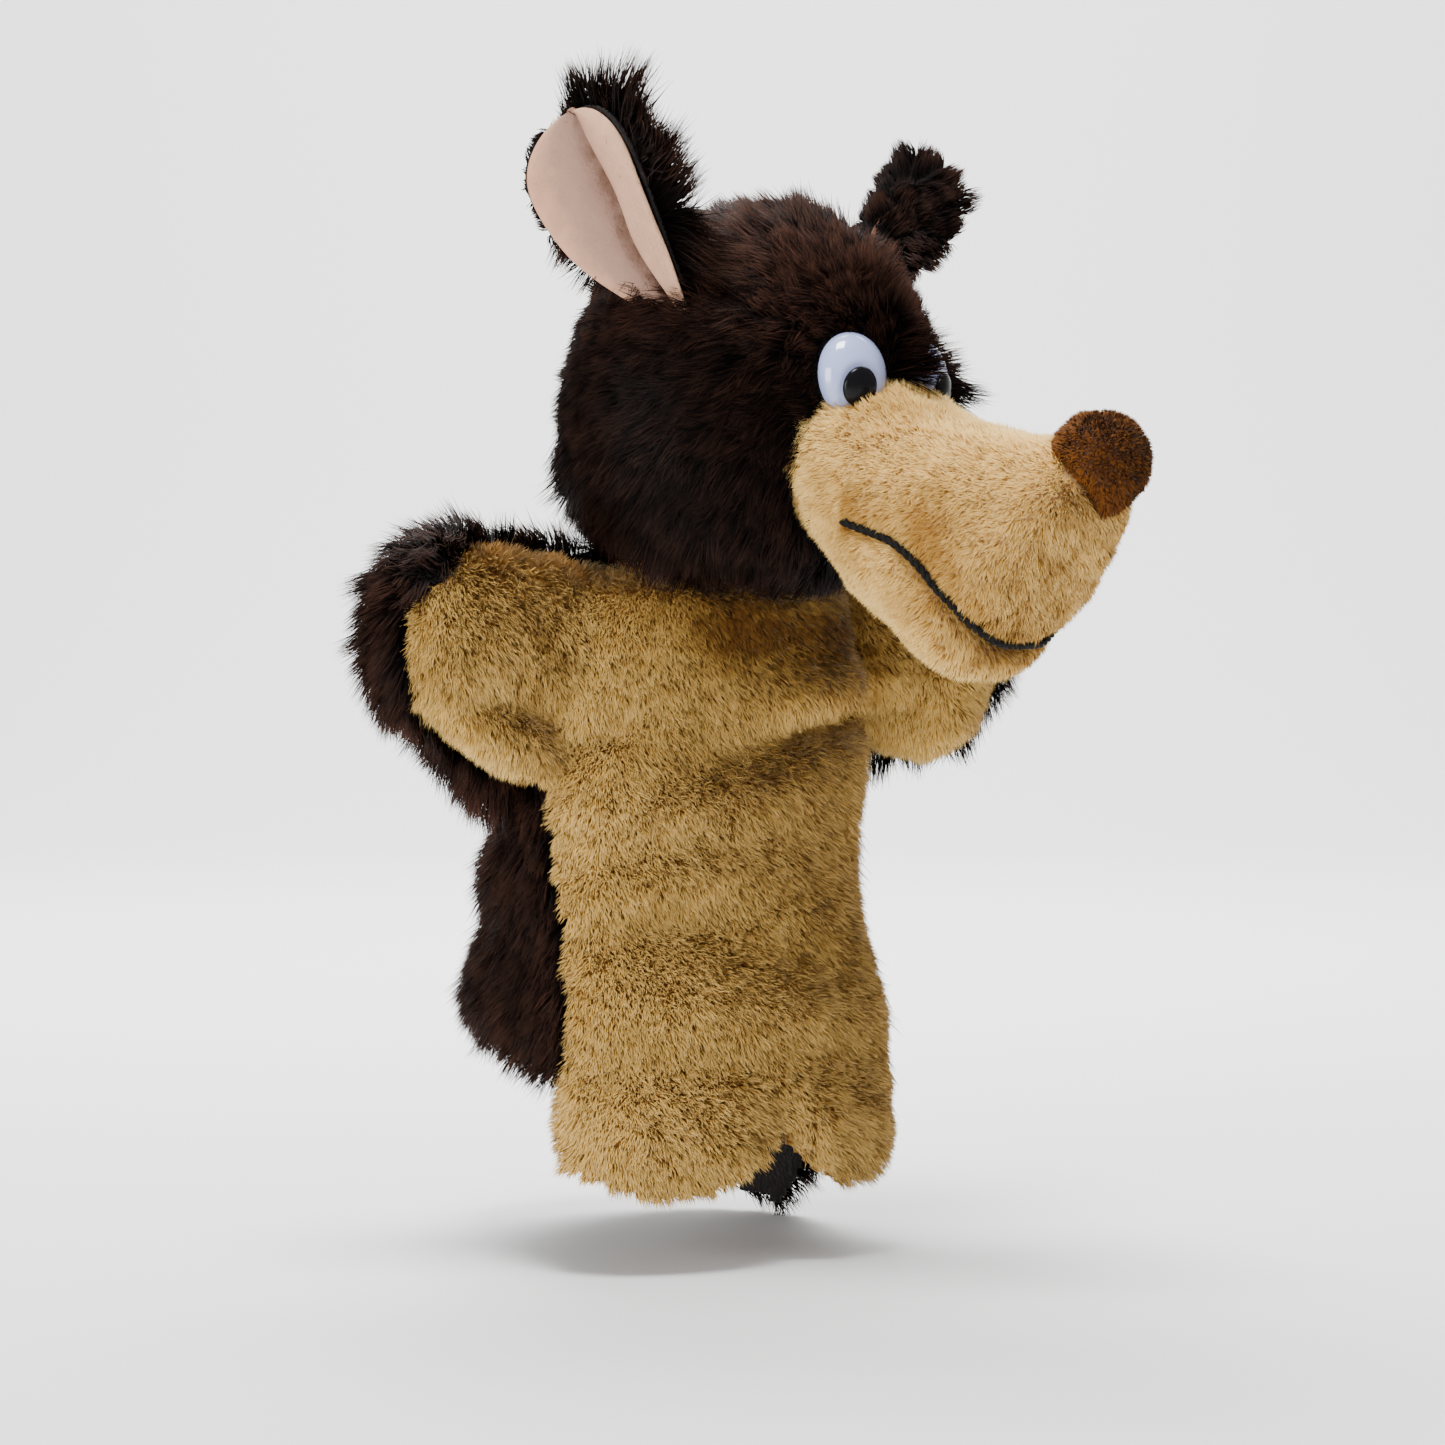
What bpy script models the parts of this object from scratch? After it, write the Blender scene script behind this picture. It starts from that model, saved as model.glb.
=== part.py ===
"""A wolf hand puppet: a plush glove with two sleeves and two foot flaps, a stuffed head on a finger tube,
a stuffed muzzle with a ball nose and a stitched mouth, plastic eyes, and lined ears.

Metres, +Z up. The puppet faces -Y, so its own right hand side is at -X. The origin is the middle of the
glove's mouth, at the height where the foot flaps begin."""

import math

import bmesh
import bpy
from mathutils import Euler, Matrix, Vector

for old in list(bpy.data.objects):
    bpy.data.objects.remove(old)

# ---- cloth and clearances ----
PLUSH = 0.0025  # a plush wall: backing cloth and its pile, pressed
FELT = 0.0015
SEAM = 0.0006  # between two panels that are sewn edge to edge
TOUCH = 0.0004  # between a piece and what it lies on

# ---- glove: a tube of cloth for a hand, from the hem up to the neck ----
GLOVE_HEIGHT = 0.126
HEM_DROP = 0.034  # how far the skin runs below the mouth, for the flaps and the back hem
HIP_HALF = 0.046
WAIST_HALF = 0.0455
CHEST_HALF = 0.0445
HEM_FRONT = 0.040
HEM_BACK = 0.054
CHEST_FRONT = 0.030
WAIST_BACK = 0.034
NECK_Y = -0.014
BACK_HEM_RIGHT = 0.018  # the back hem hangs askew: this high at the puppet's right
BACK_HEM_LEFT = -0.031  # and this high at its left

# ---- neck: a collar in the glove's top, and a finger tube that runs up into the head ----
TUBE_BORE = 0.0085
TUBE_WALL = 0.0016
TUBE_BELOW = 0.010
TUBE_ABOVE = 0.058
COLLAR_HALF_HEIGHT = 0.003
COLLAR_WALL = 0.002
COLLAR_PLAY = 0.0035  # round the tube, so that it can lean
NECK_PLAY = 0.0022  # round the collar, so that it can tilt

# ---- arms ----
ARM_DROP = 0.018  # the arm's middle below the glove's top
ARM_Y = -0.010
ARM_HALF_HEIGHT = 0.0205
ARM_HALF_DEPTH = 0.0120
SLEEVE_LENGTH = 0.010
SLEEVE_ROOT = 0.008  # how far the sleeve reaches inside the glove
PAW_LENGTH = 0.032
ARMHOLE_PLAY = 0.0020
BACK_RELIEF = 0.0055  # the sleeve's back stops short, so that the paw can swing back
RIGHT_ARM_RAISED = math.radians(8)
LEFT_ARM_RAISED = math.radians(-20)
LEFT_ARM_FOLDED = math.radians(30)

# ---- foot flaps ----
FOOT_DROP = 0.028
FOOT_GAP = 0.0032  # under the hem, room to swing
FOOT_SPLIT = 0.004  # the notch between the feet stands this far to the puppet's left
FOOT_SPACE = 0.005

# ---- head, in its own frame: the neck's pivot at the origin, the face towards -Y ----
HEAD_YAW = math.radians(20)
HEAD_PITCH = math.radians(18)
HEAD_RADIUS = 0.0425
HEAD_MIDDLE = 0.0445
HEAD_UP = 0.043
HEAD_DOWN = 0.0375
HEAD_HOLE = 0.023
GUSSET_HALF = 0.014
GUSSET_TIP = 0.0026  # half its width where it runs down between the eyes, and at the nape

# ---- muzzle ----
MUZZLE_REACH = 0.111  # from the head's axis to the front of the muzzle
MUZZLE_ROOT = 0.80 * HEAD_RADIUS
MUZZLE_HALF = 0.0270
MUZZLE_TOP = 0.0625
MUZZLE_BOTTOM = 0.0010
MOUTH_CORNER = 0.0295  # the mouth's height at its corners
MOUTH_FRONT = 0.0150  # and at the front
NOSE_RADIUS = 0.0125
NOSE_HEIGHT = 0.0610
THREAD_RADIUS = 0.0007

# ---- eyes ----
EYE_HALF_WIDTH = 0.0088
EYE_HALF_HEIGHT = 0.0098
EYE_DOME = 0.0062
EYE_X = 0.0135
EYE_HEIGHT = 0.0605
PUPIL_HALF = 0.0045
SHANK_RADIUS = 0.0021
SHANK_LENGTH = 0.0085
WASHER_RADIUS = 0.0060
WASHER_THICK = 0.0012

# ---- ears ----
EAR_LENGTH = 0.047
EAR_HALF_WIDTH = 0.019
EAR_CUP = 0.012
EAR_CLEAR = 0.0030  # over the head, room to bend

puppet = bpy.data.collections.new("hand_puppet")
cutters = bpy.data.collections.new("cutters")
bpy.context.scene.collection.children.link(puppet)
bpy.context.scene.collection.children.link(cutters)


def finish(name, colour, roughness):
    """A plain material."""
    made = bpy.data.materials.new(name)
    made.use_nodes = True
    shader = made.node_tree.nodes["Principled BSDF"]
    shader.inputs["Base Color"].default_value = (*colour, 1)
    shader.inputs["Roughness"].default_value = roughness
    shader.inputs["Metallic"].default_value = 0.0
    return made


BROWN_PLUSH = finish("brown_plush", (0.045, 0.022, 0.014), 0.95)
TAN_PLUSH = finish("tan_plush", (0.55, 0.34, 0.13), 0.95)
CREAM_PLUSH = finish("cream_plush", (0.78, 0.55, 0.29), 0.95)
NOSE_PLUSH = finish("nose_plush", (0.17, 0.065, 0.015), 0.9)
PINK_FELT = finish("pink_felt", (0.78, 0.50, 0.37), 0.95)
BLACK_THREAD = finish("black_thread", (0.01, 0.01, 0.01), 0.8)
WHITE_PLASTIC = finish("white_plastic", (0.72, 0.74, 0.88), 0.25)
BLACK_PLASTIC = finish("black_plastic", (0.006, 0.006, 0.007), 0.12)
WASHER_PLASTIC = finish("washer_plastic", (0.80, 0.80, 0.78), 0.45)
LINING_CLOTH = finish("lining_cloth", (0.30, 0.22, 0.15), 0.95)
FILLING = finish("filling", (0.85, 0.85, 0.83), 1.0)


def empty(name, location, rotation=(0, 0, 0), parent=None):
    """A joint's frame, on the joint's axis."""
    made = bpy.data.objects.new(name, None)
    made.location = location
    made.rotation_euler = rotation
    made.parent = parent
    puppet.objects.link(made)
    return made


def part(name, form, material, parent=None):
    """An object of the puppet, from a bmesh in its parent's frame."""
    mesh = bpy.data.meshes.new(name)
    form.to_mesh(mesh)
    form.free()
    mesh.materials.append(material)
    made = bpy.data.objects.new(name, mesh)
    made.parent = parent
    puppet.objects.link(made)
    return made


def cutter(name, form, parent=None):
    """A helper solid that cuts other pieces and isn't one itself."""
    mesh = bpy.data.meshes.new(name)
    form.to_mesh(mesh)
    form.free()
    made = bpy.data.objects.new(name, mesh)
    made.parent = parent
    made.hide_render = True
    made.display_type = "WIRE"
    cutters.objects.link(made)
    return made


def combine(obj, other, operation):
    """A Boolean with a cutter, or with a region that the piece is kept inside."""
    modifier = obj.modifiers.new(operation.lower(), "BOOLEAN")
    modifier.operation = operation
    modifier.object = other


def thicken(obj, wall):
    """Gives an open skin its wall, on the inner side."""
    modifier = obj.modifiers.new("wall", "SOLIDIFY")
    modifier.thickness = wall
    modifier.offset = -1
    modifier.use_even_offset = True


def face_away(form, inside):
    """Turns an open skin's faces away from a point or, with a function, from the point that it gives."""
    bmesh.ops.recalc_face_normals(form, faces=form.faces)
    form.normal_update()
    total = 0
    for face in form.faces:
        middle = face.calc_center_median()
        behind = inside(middle) if callable(inside) else inside
        total += (middle - behind).dot(face.normal)
    if total < 0:
        bmesh.ops.reverse_faces(form, faces=form.faces)
    return form


def loft(rings, close_first=False, close_last=False):
    """A skin through rings of points."""
    form = bmesh.new()
    rows = [[form.verts.new(point) for point in ring] for ring in rings]
    for lower, upper in zip(rows, rows[1:]):
        for i in range(len(lower)):
            j = (i + 1) % len(lower)
            form.faces.new((lower[i], lower[j], upper[j], upper[i]))
    if close_first:
        form.faces.new(reversed(rows[0]))
    if close_last:
        form.faces.new(rows[-1])
    return form


def prism(outline, axis, low, high):
    """An outline in the plane across an axis, extruded along that axis between two heights."""
    order = {"X": lambda a, b, t: (t, a, b), "Y": lambda a, b, t: (a, t, b), "Z": lambda a, b, t: (a, b, t)}
    at = order[axis]
    form = loft([[at(a, b, t) for a, b in outline] for t in (low, high)], True, True)
    bmesh.ops.recalc_face_normals(form, faces=form.faces)
    return form


def box(low, high):
    """A box between two corners."""
    form = bmesh.new()
    middle = (Vector(low) + Vector(high)) / 2
    size = Vector(high) - Vector(low)
    bmesh.ops.create_cube(form, size=1, matrix=Matrix.Translation(middle) @ Matrix.Diagonal((*size, 1)))
    return form


def ellipse(a, b, count=32, middle=(0, 0)):
    """Points round an ellipse."""
    turns = [2 * math.pi * i / count for i in range(count)]
    return [(middle[0] + a * math.cos(t), middle[1] + b * math.sin(t)) for t in turns]


def rod(radius, low, high, count=24):
    """A round bar along Z."""
    return prism(ellipse(radius, radius, count), "Z", low, high)


def turned(profile, steps=32):
    """A skin of revolution about Z, from (radius, height) points."""
    form = bmesh.new()
    points = [form.verts.new((r, 0, z)) for r, z in profile]
    edges = [form.edges.new(pair) for pair in zip(points, points[1:])]
    bmesh.ops.spin(
        form, geom=points + edges, cent=(0, 0, 0), axis=(0, 0, 1), angle=2 * math.pi, steps=steps, use_merge=True
    )
    bmesh.ops.remove_doubles(form, verts=form.verts, dist=1e-6)
    return form


def turned_solid(profile, steps=32):
    """A closed solid of revolution, from a closed (radius, height) outline or one that ends on the axis."""
    form = turned(profile, steps)
    bmesh.ops.recalc_face_normals(form, faces=form.faces)
    return form


def between(table, value):
    """The rows of a table of stations, interpolated at a value of their first column with a smooth curve."""
    if value <= table[0][0]:
        return table[0][1:]
    for before, after in zip(table, table[1:]):
        if value <= after[0]:
            share = (value - before[0]) / (after[0] - before[0])
            ease = share * share * (3 - 2 * share)
            mix = 0.5 * share + 0.5 * ease
            return tuple(a + (b - a) * mix for a, b in zip(before[1:], after[1:]))
    return table[-1][1:]


# ---------------------------------------------------------------- glove

COLLAR_BORE = TUBE_BORE + TUBE_WALL + COLLAR_PLAY
COLLAR_RADIUS = COLLAR_BORE + COLLAR_WALL
NECK_HOLE = COLLAR_RADIUS + NECK_PLAY
ARM_Z = GLOVE_HEIGHT - ARM_DROP
# height, half width, y of the side seam, y of the front, y of the back
GLOVE_STATIONS = [
    (-HEM_DROP, HIP_HALF + 0.001, -0.026, -HEM_FRONT - 0.002, HEM_BACK + 0.003),
    (0, HIP_HALF, -0.023, -HEM_FRONT, HEM_BACK),
    (0.45 * GLOVE_HEIGHT, WAIST_HALF, -0.016, -CHEST_FRONT - 0.001, WAIST_BACK),
    (0.70 * GLOVE_HEIGHT, CHEST_HALF, NECK_Y, -CHEST_FRONT, 0.024),
    (0.86 * GLOVE_HEIGHT, 0.97 * CHEST_HALF, NECK_Y, -CHEST_FRONT - 0.003, 0.018),
    (0.95 * GLOVE_HEIGHT, 0.80 * CHEST_HALF, NECK_Y, NECK_Y - NECK_HOLE - PLUSH - 0.001, 0.012),
    (GLOVE_HEIGHT, NECK_HOLE + PLUSH, NECK_Y, NECK_Y - NECK_HOLE - PLUSH, NECK_Y + NECK_HOLE + PLUSH),
]


def glove_ring(height, count=32):
    """The glove's outer section at a height: a front and a back half ellipse that meet at the side seams."""
    half, seam, front, back = between(GLOVE_STATIONS, height)
    ring = []
    for i in range(count):
        turn = 2 * math.pi * i / count
        depth = (back - seam) if math.sin(turn) > 0 else (seam - front)
        ring.append((half * math.cos(turn), seam + depth * math.sin(turn), height))
    return ring


def glove_skin():
    """The whole glove before it is cut into panels, open at the neck and below."""
    below = [-HEM_DROP + HEM_DROP * i / 3 for i in range(3)]
    above = [GLOVE_HEIGHT * i / 12 for i in range(13)]
    form = loft([glove_ring(height) for height in below + above])
    return face_away(form, lambda p: Vector((0, NECK_Y, p.z)))


WIDE = 0.2


def seam_line(shift):
    """The side seam's (y, z) points from below the hem to over the neck."""
    heights = [-HEM_DROP] + [GLOVE_HEIGHT * i / 12 for i in range(13)]
    line = [(between(GLOVE_STATIONS, z)[1] + shift, z) for z in heights]
    return [(line[0][0], -WIDE)] + line + [(line[-1][0], WIDE)]


front_region = cutter("front_region", prism(seam_line(-SEAM / 2) + [(-WIDE, WIDE), (-WIDE, -WIDE)], "X", -WIDE, WIDE))
back_region = cutter("back_region", prism(seam_line(SEAM / 2) + [(WIDE, WIDE), (WIDE, -WIDE)], "X", -WIDE, WIDE))
above_mouth = cutter("above_mouth", box((-WIDE, -WIDE, 0), (WIDE, WIDE, WIDE)))
slope = (BACK_HEM_RIGHT - BACK_HEM_LEFT) / (2 * HIP_HALF)
BACK_HEM_MIDDLE = (BACK_HEM_RIGHT + BACK_HEM_LEFT) / 2
hem_outline = [
    (-WIDE, BACK_HEM_RIGHT + 0.002),
    (-HIP_HALF, BACK_HEM_RIGHT),
    (-0.5 * HIP_HALF, BACK_HEM_MIDDLE + 0.5 * slope * HIP_HALF + 0.002),
    (0.5 * HIP_HALF, BACK_HEM_MIDDLE - 0.5 * slope * HIP_HALF - 0.003),
    (0.8 * HIP_HALF, BACK_HEM_LEFT),
    (WIDE, BACK_HEM_LEFT + 0.004),
    (WIDE, WIDE),
    (-WIDE, WIDE),
]
above_back_hem = cutter("above_back_hem", prism(hem_outline, "Y", -WIDE, WIDE))

armhole_outline = ellipse(
    ARM_HALF_DEPTH + ARMHOLE_PLAY, ARM_HALF_HEIGHT + ARMHOLE_PLAY, 32, (ARM_Y, ARM_Z)
)
ARMHOLE_FROM = 0.60 * CHEST_HALF
armholes = [
    cutter("right_armhole", prism(armhole_outline, "X", -2 * CHEST_HALF, -ARMHOLE_FROM)),
    cutter("left_armhole", prism(armhole_outline, "X", ARMHOLE_FROM, 2 * CHEST_HALF)),
]

front_panel = part("front_panel", glove_skin(), TAN_PLUSH)
back_panel = part("back_panel", glove_skin(), BROWN_PLUSH)
for panel, regions in ((front_panel, (front_region, above_mouth)), (back_panel, (back_region, above_back_hem))):
    thicken(panel, PLUSH)
    for region in regions:
        combine(panel, region, "INTERSECT")
    for armhole in armholes:
        combine(panel, armhole, "DIFFERENCE")


# ---------------------------------------------------------------- foot flaps

def foot_outline(inner, outer):
    """A flap's (x, z) outline: straight under the hem, and round below."""
    middle = (inner + outer) / 2
    half = (outer - inner) / 2
    round_end = [
        (middle + half * math.cos(t), -FOOT_GAP - 0.35 * FOOT_DROP - (0.65 * FOOT_DROP - FOOT_GAP) * math.sin(t))
        for t in [math.pi * i / 14 for i in range(15)]
    ]
    return [(outer, -FOOT_GAP)] + round_end + [(inner, -FOOT_GAP)]


def foot_chord(side):
    """The fold line of a flap: a point on it, outside the curved cloth, its direction and its outward normal."""
    half, seam, front, _ = between(GLOVE_STATIONS, 0)
    end = Vector((side * half, seam, 0))
    inner = Vector((FOOT_SPLIT, front, 0))
    along = (inner - end).normalized()
    outward = Vector((along.y, -along.x, 0)) * side
    if outward.y > 0:
        outward = -outward
    bulge = max((Vector((half * math.cos(t), seam - (seam - front) * math.sin(t), 0)) - end).dot(outward)
                for t in [math.pi * i / 40 for i in range(41)] if side * math.cos(t) > 0)
    return (end + inner) / 2 + outward * bulge, along, outward


for side, word in ((-1, "right"), (1, "left")):
    point, along, outward = foot_chord(side)
    spin = math.atan2(outward.x, -outward.y)
    hinge = empty(word + "_foot_hinge", point, (0, 0, spin))
    flap = part(word + "_foot_flap", glove_skin(), TAN_PLUSH)
    thicken(flap, PLUSH)
    inner = FOOT_SPLIT + side * FOOT_SPACE / 2
    outline = foot_outline(*sorted((inner, side * (HIP_HALF + 0.004))))
    combine(flap, front_region, "INTERSECT")
    combine(flap, cutter(word + "_foot_region", prism(outline, "Y", -WIDE, 0)), "INTERSECT")
    bpy.context.view_layer.update()
    flap.parent = hinge
    flap.matrix_parent_inverse = hinge.matrix_world.inverted()


# ---------------------------------------------------------------- neck

neck_pivot = empty("neck_pivot", (0, NECK_Y, GLOVE_HEIGHT))
head_frame = empty("head_frame", (0, NECK_Y, GLOVE_HEIGHT), Euler((HEAD_PITCH, 0, HEAD_YAW)))
TUBE_RADIUS = TUBE_BORE + TUBE_WALL


def collar_form():
    """A flat ring round the finger tube."""
    low, high = -COLLAR_HALF_HEIGHT, COLLAR_HALF_HEIGHT
    outline = [(COLLAR_RADIUS, high), (COLLAR_RADIUS, low), (COLLAR_BORE, low), (COLLAR_BORE, high), (COLLAR_RADIUS, high)]
    return turned_solid(outline, 24)


def tube_form():
    """A finger pocket: a tube open below, with a round closed end."""
    steps = [math.pi / 2 * i / 4 for i in range(5)]
    outer = [(TUBE_RADIUS * math.sin(t), TUBE_ABOVE - TUBE_RADIUS + TUBE_RADIUS * math.cos(t)) for t in steps]
    inner = [(TUBE_BORE * math.cos(t), TUBE_ABOVE - TUBE_RADIUS + TUBE_BORE * math.sin(t)) for t in steps]
    outer[0] = (0, TUBE_ABOVE)
    inner[-1] = (0, TUBE_ABOVE - TUBE_WALL)
    return turned_solid(outer + [(TUBE_RADIUS, -TUBE_BELOW), (TUBE_BORE, -TUBE_BELOW)] + inner, 20)


part("neck_collar", collar_form(), LINING_CLOTH, neck_pivot)
part("head_finger_tube", tube_form(), LINING_CLOTH, head_frame)


# ---------------------------------------------------------------- arms

ARM_LENGTH = SLEEVE_LENGTH + PAW_LENGTH
TIP_ROUND = 0.62 * ARM_HALF_HEIGHT  # how far back from the tip the mitten starts to round off


def mitten(side):
    """A sleeve and its round paw, lying along X from the armhole, open at the root."""
    straight = [-SLEEVE_ROOT - 0.001 + (ARM_LENGTH - TIP_ROUND + SLEEVE_ROOT) * i / 4 for i in range(4)]
    stations = [(x, 1.0) for x in straight]
    for i in range(6):
        turn = math.pi / 2 * i / 5.4
        stations.append((ARM_LENGTH - TIP_ROUND + TIP_ROUND * math.sin(turn), math.cos(turn) ** 0.8))
    rings = []
    for x, share in stations:
        points = ellipse(ARM_HALF_DEPTH * share, ARM_HALF_HEIGHT * share, 24)
        rings.append([(side * x, y, z) for y, z in points])
    return face_away(loft(rings, close_last=True), lambda p: Vector((min(abs(p.x), ARM_LENGTH / 2) * side, 0, 0)))


for side, word in ((-1, "right"), (1, "left")):
    raised = RIGHT_ARM_RAISED if side < 0 else LEFT_ARM_RAISED
    folded = 0 if side < 0 else LEFT_ARM_FOLDED
    shoulder = empty(word + "_shoulder", (side * CHEST_HALF, ARM_Y, ARM_Z), (0, -side * raised, 0))
    elbow = empty(word + "_elbow", (side * SLEEVE_LENGTH, -ARM_HALF_DEPTH, 0), (0, 0, -side * folded), shoulder)
    fold_x = SLEEVE_LENGTH
    spans = {
        "sleeve_front": (-SLEEVE_ROOT, fold_x - SEAM, -WIDE, -SEAM / 2, TAN_PLUSH),
        "sleeve_back": (-SLEEVE_ROOT, fold_x - BACK_RELIEF, SEAM / 2, WIDE, BROWN_PLUSH),
        "paw_front": (fold_x + SEAM, WIDE, -WIDE, -SEAM / 2, TAN_PLUSH),
        "paw_back": (fold_x + SEAM, WIDE, SEAM / 2, WIDE, BROWN_PLUSH),
    }
    for piece, (near, far, low_y, high_y, material) in spans.items():
        frame = elbow if piece.startswith("paw") else shoulder
        shift = Vector((-side * fold_x, ARM_HALF_DEPTH, 0)) if frame is elbow else Vector()
        form = mitten(side)
        bmesh.ops.translate(form, verts=form.verts, vec=shift)
        arm = part(word + "_" + piece, form, material, frame)
        thicken(arm, PLUSH)
        low_x, high_x = sorted((side * near, side * far))
        region = box(Vector((low_x, low_y, -WIDE)) + shift, Vector((high_x, high_y, WIDE)) + shift)
        combine(arm, cutter(word + "_" + piece + "_region", region, frame), "INTERSECT")


# ---------------------------------------------------------------- head shell and filling

def head_profile(count=8):
    """(radius, height) points of the head from the crown down to the hole round the neck: a dome on a barrel."""
    turns = [math.pi / 2 * i / count for i in range(count + 1)]
    points = [(HEAD_RADIUS * math.sin(t), HEAD_MIDDLE + HEAD_UP * math.cos(t)) for t in turns]
    barrel = 3.0
    for turn in turns[1:]:
        wide, deep = math.cos(turn) ** (2 / barrel), math.sin(turn) ** (2 / barrel)
        if HEAD_RADIUS * wide > HEAD_HOLE:
            points.append((HEAD_RADIUS * wide, HEAD_MIDDLE - HEAD_DOWN * deep))
    return points + [(HEAD_HOLE, HEAD_MIDDLE - HEAD_DOWN)]


def inset_profile(points, inset):
    """An outline's points moved in by a distance, square to the outline on both sides of each."""
    moved = []
    for i, (r, z) in enumerate(points):
        before = Vector(points[i - 1]) if i else Vector((-points[1][0], points[1][1]))
        here, after = Vector((r, z)), Vector(points[min(i + 1, len(points) - 1)])
        first = (here - before).normalized()
        second = (after - here).normalized() if after != here else first
        normal = Vector((-(first + second).y, (first + second).x)).normalized()
        reach = inset / max(normal.dot(Vector((-first.y, first.x))), 0.5)
        moved.append((max(r - normal.x * reach, 0), z - normal.y * reach))
    moved[0] = (0, moved[0][1])
    return moved


def head_skin():
    """The head's skin, open at the neck."""
    return face_away(turned(head_profile(), 28), Vector((0, 0, HEAD_MIDDLE)))


def head_surface(direction):
    """The point of the dome in a direction from the head's middle, and the normal there."""
    d = Vector(direction)
    up = HEAD_UP if d.z > 0 else HEAD_DOWN
    scale = 1 / math.sqrt((d.x**2 + d.y**2) / HEAD_RADIUS**2 + d.z**2 / up**2)
    point = Vector((0, 0, HEAD_MIDDLE)) + d * scale
    normal = Vector((point.x / HEAD_RADIUS**2, point.y / HEAD_RADIUS**2, (point.z - HEAD_MIDDLE) / up**2))
    return point, normal.normalized()


# share of the way from root to front, half width, top, bottom: as shares of the muzzle's own sizes, and how square
MUZZLE_STATIONS = [
    (0.00, 0.90, 0.86, 0.36, 1.7),
    (0.15, 1.00, 0.97, 0.30, 1.8),
    (0.35, 1.00, 1.00, 0.15, 2.0),
    (0.55, 0.98, 1.00, 0.05, 2.1),
    (0.74, 0.91, 1.00, 0.00, 2.1),
    (0.87, 0.78, 0.95, 0.06, 2.1),
    (0.95, 0.62, 0.86, 0.17, 2.1),
    (1.00, 0.34, 0.66, 0.38, 2.1),
]


def muzzle_ring(share, count=26):
    """A section of the muzzle across Y."""
    half, top, bottom, square = between(MUZZLE_STATIONS, share)
    tall = MUZZLE_TOP - MUZZLE_BOTTOM
    high, low = MUZZLE_BOTTOM + tall * top, MUZZLE_BOTTOM + tall * bottom
    wide = MUZZLE_HALF * half
    y = -(MUZZLE_ROOT + (MUZZLE_REACH - MUZZLE_ROOT) * share)
    ring = []
    for i in range(count):
        turn = 2 * math.pi * i / count
        c, s = math.cos(turn), math.sin(turn)
        power = 2 / square
        x = wide * math.copysign(abs(c) ** power, c)
        z = (high + low) / 2 + (high - low) / 2 * math.copysign(abs(s) ** power, s)
        ring.append((x, y, z))
    return ring


MUZZLE_SHARES = [0, 0.12, 0.25, 0.4, 0.55, 0.68, 0.78, 0.86, 0.92, 0.97, 1.0]


def muzzle_form(closed_root):
    """The muzzle's outer surface, closed in front."""
    return loft([muzzle_ring(share) for share in MUZZLE_SHARES], close_first=closed_root, close_last=True)


def muzzle_solid(grow):
    """A closed copy of the muzzle, grown or, with a negative value, shrunk, for cutting and for the filling."""
    form = muzzle_form(True)
    bmesh.ops.recalc_face_normals(form, faces=form.faces)
    form.normal_update()
    moves = [(vertex, vertex.normal * grow * vertex.calc_shell_factor()) for vertex in form.verts]
    for vertex, move in moves:
        vertex.co += move
    return form


muzzle_room = cutter("muzzle_room", muzzle_solid(TOUCH), head_frame)
# the gusset runs over the crown; below it the sides meet at the middle, under the muzzle and at the nape
GUSSET_END = MUZZLE_BOTTOM + 0.36 * (MUZZLE_TOP - MUZZLE_BOTTOM) + 0.002
gusset_edge = GUSSET_HALF + SEAM / 2
gusset_line = [
    (GUSSET_TIP, GUSSET_END),
    (GUSSET_TIP, EYE_HEIGHT + EYE_HALF_HEIGHT),
    (GUSSET_HALF, HEAD_MIDDLE + 0.92 * HEAD_UP),
    (GUSSET_HALF, WIDE),
]
side_outline = [(WIDE, -WIDE), (SEAM / 2, -WIDE), (SEAM / 2, GUSSET_END)]
side_outline += [(x + SEAM / 2, z) for x, z in gusset_line] + [(WIDE, WIDE)]
gusset_right = [(x - SEAM / 2, max(z, GUSSET_END + SEAM)) for x, z in gusset_line]
gusset_outline = [(-x, z) for x, z in gusset_right] + gusset_right[::-1]
head_regions = {
    "head_side_right": [(-x, z) for x, z in side_outline],
    "head_gusset": gusset_outline,
    "head_side_left": side_outline,
}
head_panels = []
for name, outline in head_regions.items():
    panel = part(name, head_skin(), BROWN_PLUSH, head_frame)
    thicken(panel, PLUSH)
    combine(panel, cutter(name + "_region", prism(outline, "Y", -WIDE, WIDE), head_frame), "INTERSECT")
    combine(panel, muzzle_room, "DIFFERENCE")
    head_panels.append(panel)

FILLING_FLOOR = HEAD_MIDDLE - HEAD_DOWN + PLUSH + 0.004


def head_filling_form():
    """A stuffed dome that fits inside the skin, flat below."""
    points = [p for p in inset_profile(head_profile(), PLUSH + TOUCH) if p[1] > FILLING_FLOOR]
    return turned_solid(points + [(points[-1][0] - 0.001, FILLING_FLOOR), (0, FILLING_FLOOR)], 28)


head_filling = part("head_filling", head_filling_form(), FILLING, head_frame)
tube_room = cutter("tube_room", rod(TUBE_RADIUS + TOUCH, -WIDE, TUBE_ABOVE + TOUCH), head_frame)
combine(head_filling, tube_room, "DIFFERENCE")
combine(head_filling, muzzle_room, "DIFFERENCE")


# ---------------------------------------------------------------- muzzle, nose and mouth

def muzzle_skin():
    """The muzzle's skin, open where it is sewn to the head."""
    form = muzzle_form(False)
    height = (MUZZLE_TOP + MUZZLE_BOTTOM) / 2
    return face_away(form, lambda p: Vector((0, max(p.y, -0.8 * MUZZLE_REACH), height)))


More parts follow.
